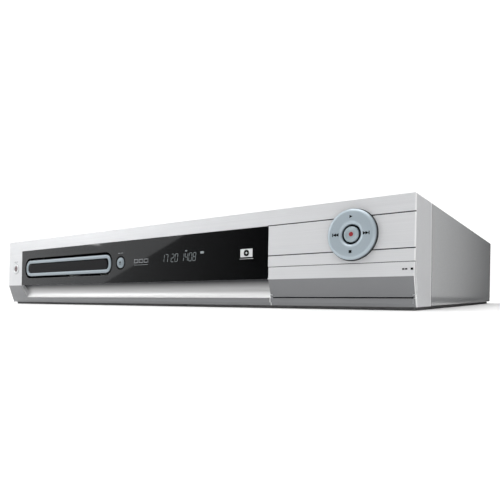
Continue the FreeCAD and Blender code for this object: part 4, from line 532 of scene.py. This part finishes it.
# Steel cover
# Folded sheet steel with a fine silver-grey powder finish, screwed on at the back.
# The finish is slightly pebbled under a thin clear coat, with painted shade darkening its front edge where it
# meets the moulding.
cover, tree, shader = finish_of("grey_powder_steel", "909294", 0.4, 0.2, Coat_Weight=0.8, Coat_Roughness=0.1)
pebble = noise(tree, place(tree), 1900.0, 2.0)
drift = noise(tree, place(tree), 9.0, 2.0)
tone = mix(tree, ramp(tree, pebble, 0.35, 0.65, 0, 1), linear("8A8C8E"), linear("989A9C"))
tone = mix(tree, ramp(tree, drift, 0.3, 0.7, 0, 0.3), tone, linear("828486"))
# Painted shade: the cover's front edge at the seam is painted dark grey.
tone = mix(tree, within(tree, axis_of(tree, "Y"), -1, return_edge + 0.0011), tone, linear("55575A"))
tree.links.new(tone, shader.inputs["Base Color"])
relief(tree, shader, pebble, 0.000008, 0.0004)
dress(cover, "top_cover")

# Zinc-plated steel
# Back plate, floor, brackets, cans and screws: bright sheet with the plating's faint cloudy patches.
# The edges are left as sheared.
zinc, tree, shader = finish_of("zinc_plate", "B4B6B4", 0.36, 0.85)
patch = add(tree, "TexVoronoi", {"Vector": place(tree), "Scale": 160.0}).outputs["Distance"]
cloud = noise(tree, place(tree), 60.0, 5.0)
tree.links.new(mix(tree, ramp(tree, cloud, 0.3, 0.7, 0, 1), linear("A3A5A3"), linear("C3C5C2")),
               shader.inputs["Base Color"])
tree.links.new(ramp(tree, patch, 0.0, 0.6, 0.28, 0.46), shader.inputs["Roughness"])
relief(tree, shader, cloud, 0.00001, 0.0002)
dress(zinc, "rear_panel", "base_pan", "drive_cradle", "clamp_bridge", "traverse_frame", "loading_motor",
      "spindle_motor", "sled_motor", "power_transformer", "cover_screws", "chassis_screws")

# Black mouldings
# Loader, tray, sockets, fan and inlet are moulded in black or dark grey plastic with a fine spark texture.
# The spark's high spots are slightly lighter and rougher.
black, tree, shader = finish_of("black_moulding", "151618", 0.48)
spark = noise(tree, place(tree), 3200.0, 3.0)
tree.links.new(mix(tree, spark, linear("101113"), linear("1D1E20")), shader.inputs["Base Color"])
tree.links.new(ramp(tree, spark, 0.3, 0.7, 0.42, 0.58), shader.inputs["Roughness"])
relief(tree, shader, spark, 0.000015, 0.0003)
dress(black, "disc_tray", "tray_front_seal", "loader_frame", "av_socket_plate", "front_svideo_jack",
      "scart_sockets", "rear_svideo_jack", "optical_socket", "ac_inlet", "fan_frame", "fan_rotor",
      "turntable", "tact_switches")

# Rubber
# Feet and loading belt: matt black rubber with a dusty bloom.
# The bloom is lighter in the fine grain.
rubber, tree, shader = finish_of("black_rubber", "131313", 0.85)
bloom = noise(tree, place(tree), 900.0, 5.0)
tree.links.new(mix(tree, bloom, linear("0E0E0E"), linear("242424")), shader.inputs["Base Color"])
relief(tree, shader, bloom, 0.00003)
dress(rubber, "feet", "loading_belt")

# Nickel-plated metal
# Phono barrels, aerial can, and the pickup's rods and lead screw are plated, drawn and bright.
# The streaks run along the depth.
nickel, tree, shader = finish_of("nickel_plate", "C9C7C0", 0.2, 1.0)
draw = noise(tree, place(tree, (2200, 20, 2200)), 1.0, 3.0)
tree.links.new(mix(tree, draw, linear("B7B5AE"), linear("D6D4CD")), shader.inputs["Base Color"])
tree.links.new(ramp(tree, draw, 0.3, 0.7, 0.16, 0.28), shader.inputs["Roughness"])
relief(tree, shader, draw, 0.000004, 0.0002)
dress(nickel, "front_rca_jacks", "rear_rca_jacks", "front_dv_jack", "tuner_module", "guide_rods",
      "lead_screw")

# Socket rings
# A coloured plastic insulator stands in the mouth of each phono barrel, moulded in the colour of its signal.
# Three are behind the flap and eight on the back plate, in two rows.


def socket_ring(name, x, mouth, z, way, made):
    """Ring in a socket's mouth: (x + r cos a, mouth + way t, z + r sin a) round a square section, in mm."""
    a = np.linspace(0, 2 * np.pi, 40, endpoint=False)
    section = np.array([(1.75, 0), (1.75, 0.28), (1.95, 0.35), (3.1, 0.35), (3.3, 0.25), (3.3, 0), (1.75, 0)])
    r, t = section[:, :1], section[:, 1:]
    points = np.stack([x + r * np.cos(a), mouth + way * t + 0 * a, z + r * np.sin(a)], -1) / 1000
    solid_piece(name, points, "casing", made)


ring_colors = {}
for color, low, high in (
        ("yellow", "C9A51E", "D8B430"), ("white", "D8D6CE", "E6E4DD"), ("red", "A3231F", "B53029"),
        ("green", "2E7A3A", "3B8C48"), ("blue", "27489A", "3357AC"), ("orange", "C4661C", "D2762C")):
    made, tree, shader = finish_of(color + "_ring", low, 0.4)
    tree.links.new(mix(tree, noise(tree, place(tree), 1300.0), linear(low), linear(high)),
                   shader.inputs["Base Color"])
    ring_colors[color] = made
FRONT_MOUTH, REAR_MOUTH = -143.17, 154.85
JACK_PITCH = 18
for index, color in enumerate(("yellow", "white", "red")):
    socket_ring("front_ring_" + color, 142.5 + JACK_PITCH * index, FRONT_MOUTH, 18.5, -1, ring_colors[color])
rear_rows = ((39, ("yellow", "white", "red", "orange")), (21, ("green", "blue", "red", "white")))
for row, (z, colors) in enumerate(rear_rows):
    for column, color in enumerate(colors):
        socket_ring(f"rear_ring_{row + 1}{column + 1}", 66 - JACK_PITCH * column, REAR_MOUTH, z, 1,
                    ring_colors[color])

# Cast alloy
# The hard disk drive's housing, the pickup sled and the processor's heatsink are cast and left bare.
# The skin is grainy and dull.
alloy, tree, shader = finish_of("cast_alloy", "9DA0A2", 0.5, 0.9)
grain = noise(tree, place(tree), 1400.0, 4.0)
tree.links.new(mix(tree, grain, linear("878A8C"), linear("B0B3B5")), shader.inputs["Base Color"])
relief(tree, shader, grain, 0.00002, 0.0003)
dress(alloy, "hard_drive", "pickup_sled", "processor_heatsink")

# White acetal and ivory mouldings
# Gears, pulleys, lift slider, clamp puck and the ring's spring plate are plain white engineering plastic.
# It is slightly waxy.
acetal, tree, shader = finish_of("white_acetal", "DAD7CC", 0.4, Subsurface_Weight=0.05)
wax = noise(tree, place(tree), 700.0, 3.0)
tree.links.new(mix(tree, wax, linear("D0CDC2"), linear("E4E1D7")), shader.inputs["Base Color"])
relief(tree, shader, wax, 0.000008, 0.0002)
dress(acetal, "tray_gear", "pulley_gear", "motor_pulley", "lift_slider", "clamp_puck", "dial_carrier")

# Circuit boards
# Green lacquered glass-fibre boards with a weave under the lacquer and rows of copper tracks.
# Tracks show as slightly lighter lines.
lacquer, tree, shader = finish_of("green_board", "1E4D2C", 0.3, Coat_Weight=0.3)
weave = add(tree, "TexBrick", {"Vector": place(tree, (260, 260, 260)), "Color1": linear("1C4A2A"),
                               "Color2": linear("235533"), "Mortar": linear("2F6B40"), "Scale": 1.0,
                               "Mortar Size": 0.05})
tree.links.new(weave.outputs["Color"], shader.inputs["Base Color"])
relief(tree, shader, weave.outputs["Fac"], 0.00003)
dress(lacquer, "main_board", "power_board", "io_board", "front_board", "power_key_board", "av_board")

# Capacitors, display tube and lens
# The capacitors' sleeves are shrunk on; the tube is dark glass; the lens is coated glass.
# All three are glossy.
sleeve, tree, shader = finish_of("capacitor_sleeve", "10122B", 0.3)
tree.links.new(mix(tree, noise(tree, place(tree), 300.0), linear("0D0F25"), linear("171A38")),
               shader.inputs["Base Color"])
dress(sleeve, "power_capacitors")
tube, tree, shader = finish_of("display_glass", "0B0F10", 0.08)
tree.links.new(mix(tree, noise(tree, place(tree), 200.0), linear("090C0D"), linear("101617")),
               shader.inputs["Base Color"])
dress(tube, "display_tube")
lens, tree, shader = finish_of("coated_lens", "28305A", 0.03, Coat_Weight=1.0)
tree.links.new(mix(tree, noise(tree, place(tree), 400.0), linear("222A55"), linear("303A6B")),
               shader.inputs["Base Color"])
dress(lens, "pickup_lens")

# Floor
# A pale seamless sheet that glows a little away from the recorder, as an overexposed backdrop does.
# Two thin grey strips stand under the front and right side as painted shadow, where a white gap would show.
side = 6.0
floor_mesh = bpy.data.meshes.new("floor")
floor_corners = [(-side, -side, 0), (side, -side, 0), (side, side, 0), (-side, side, 0)]
floor_mesh.from_pydata(floor_corners, [], [(0, 1, 2, 3)])
floor = bpy.data.objects.new("floor", floor_mesh)
bpy.context.scene.collection.objects.link(floor)
made, tree, shader = finish_of("pale_floor", "F6F6F6", 0.9)
tree.links.new(mix(tree, noise(tree, place(tree), 3.0), linear("F4F4F4"), linear("F8F8F8")),
               shader.inputs["Base Color"])
from_middle = [add(tree, "Math", {0: axis_of(tree, letter)}, operation="ABSOLUTE").outputs[0]
               for letter in "XY"]
outside = [ramp(tree, far, reach, reach + 0.2, 0, 1) for far, reach in zip(from_middle, (0.23, 0.17))]
apart = add(tree, "Math", {0: outside[0], 1: outside[1]}, operation="MAXIMUM").outputs[0]
tree.links.new(ramp(tree, apart, 0, 1, 0.01, 0.3), shader.inputs["Emission Strength"])
shader.inputs["Emission Color"].default_value = linear("FFFFFF")
floor_mesh.materials.append(made)

# Painted shadow: grey strips standing under the casing's front and right side.
STRIP_Y, STRIP_X, STRIP_TALL = FRONT + 0.008, 0.2125, 0.0022
for name, start, end in (("front_mask", (-0.213, STRIP_Y), (STRIP_X, STRIP_Y)),
                         ("side_mask", (STRIP_X, STRIP_Y), (STRIP_X, 0.145))):
    shadow_strip_mesh = bpy.data.meshes.new(name)
    corners = [start + (0.0,), end + (0.0,), end + (STRIP_TALL,), start + (STRIP_TALL,)]
    shadow_strip_mesh.from_pydata(corners, [], [(0, 1, 2, 3)])
    mask = bpy.data.objects.new(name, shadow_strip_mesh)
    bpy.context.scene.collection.objects.link(mask)
    made, tree, shader = finish_of(name, "707070", 1.0, 0.0, Specular_IOR_Level=0.0)
    shadow_strip_mesh.materials.append(made)

# Studio cards
# A wide card in front is lit at its left up to a slanting edge and falls away to black for the window.
# A lit card behind, and a black flag and mat at the right, give the cover's side its falling tone.
card_points = [(x, FRONT - 1.5, z) for x, z in ((-3.4, 0.02), (0.4, 0.02), (0.4, 0.95), (-3.4, 0.95))]
card_mesh = bpy.data.meshes.new("reflection_card")
card_mesh.from_pydata(card_points, [], [(3, 2, 1, 0)])
card = bpy.data.objects.new("reflection_card", card_mesh)
bpy.context.scene.collection.objects.link(card)
made, tree, shader = finish_of("card_light", "000000", 1.0)
x, z = axis_of(tree, "X"), axis_of(tree, "Z")
edge = add(tree, "Math", {0: z, 1: -2.62, 2: 2.53}, operation="MULTIPLY_ADD").outputs[0]
beyond = add(tree, "Math", {0: x, 1: edge}, operation="ADD").outputs[0]
lit = ramp(tree, beyond, -0.01, 0.01, 0.7, 0.0)
dim = ramp(tree, x, -2.1, -0.9, 0.36, 0.006)
glow_of_card = add(tree, "Math", {0: lit, 1: dim}, operation="MAXIMUM").outputs[0]
tree.links.new(glow_of_card, shader.inputs["Emission Strength"])
shader.inputs["Emission Color"].default_value = linear("F4F6F8")
card_mesh.materials.append(made)
card.visible_camera = False

side_mesh = bpy.data.meshes.new("side_card")
side_mesh.from_pydata([(0.25, 2.0, 0), (1.4, 2.0, 0), (1.4, 2.0, 1.2), (0.25, 2.0, 1.2)], [], [(0, 1, 2, 3)])
side_card = bpy.data.objects.new("side_card", side_mesh)
bpy.context.scene.collection.objects.link(side_card)
made, tree, shader = finish_of("side_card_light", "020202", 1.0, 0.0, Specular_IOR_Level=0.0)
tree.links.new(ramp(tree, axis_of(tree, "X"), 0.45, 0.75, 0.0, 1.0), shader.inputs["Emission Strength"])
shader.inputs["Emission Color"].default_value = linear("FFFFFF")
side_mesh.materials.append(made)
side_card.visible_camera = False

for name, corners in (
        ("black_flag", [(0.4, 0.0, 0), (0.4, 0.4, 0), (0.4, 0.4, 0.25), (0.4, 0.0, 0.25)]),
        ("black_mat", [(0.235, 0.16, 0.0005), (0.7, 0.16, 0.0005), (0.7, 1.99, 0.0005),
                       (0.235, 1.99, 0.0005)])):
    flag_mesh = bpy.data.meshes.new(name)
    flag_mesh.from_pydata(corners, [], [(0, 1, 2, 3)])
    flag = bpy.data.objects.new(name, flag_mesh)
    bpy.context.scene.collection.objects.link(flag)
    made, tree, shader = finish_of(name, "020202", 1.0, 0.0, Specular_IOR_Level=0.0)
    flag_mesh.materials.append(made)
    flag.visible_camera = False

# Light and camera
# A soft surround that dims to the right, a broad light overhead and a smaller one at the front left.
# The camera stands low at the right-hand corner, just above the floor.
world = bpy.data.worlds.new("studio")
world.use_nodes = True
world.node_tree.nodes["Background"].inputs["Color"].default_value = linear("FFFFFF")
sky = world.node_tree
aim = add(sky, "SeparateXYZ", {"Vector": add(sky, "TexCoord").outputs["Generated"]}).outputs["X"]
sky.links.new(ramp(sky, aim, 0.0, 0.5, 1.1, 0.5), sky.nodes["Background"].inputs["Strength"])
bpy.context.scene.world = world


def lamp(name, place_at, aim, size, power):
    """Area lamp of that size and power, aimed at a point."""
    data = bpy.data.lights.new(name, "AREA")
    data.shape = "RECTANGLE"
    data.size, data.size_y = size
    data.energy = power
    lit = bpy.data.objects.new(name, data)
    bpy.context.scene.collection.objects.link(lit)
    lit.location = place_at
    gap = np.array(aim) - np.array(place_at)
    tilt = math.acos(-gap[2] / np.linalg.norm(gap))
    lit.rotation_euler = (tilt, 0, math.atan2(gap[1], gap[0]) - math.pi / 2)


lamp("overhead", (0.1, -0.4, 1.8), (0, 0, 0), (1.6, 1.6), 17)
lamp("front_left", (-1.9, -1.6, 0.9), (-0.1, -0.15, 0.04), (1.0, 1.0), 9)

camera = bpy.data.objects.new("camera", bpy.data.cameras.new("camera"))
bpy.context.scene.collection.objects.link(camera)
camera.location = (0.28341, FRONT - 0.25905, 0.00851)
camera.rotation_euler = (math.radians(88.15), 0, math.radians(34.70))
camera.data.sensor_width = 36
camera.data.lens = 32.805
camera.data.shift_y = 0.1209
camera.data.clip_start = 0.01
bpy.context.scene.camera = camera
bpy.context.scene.view_settings.view_transform = "Standard"
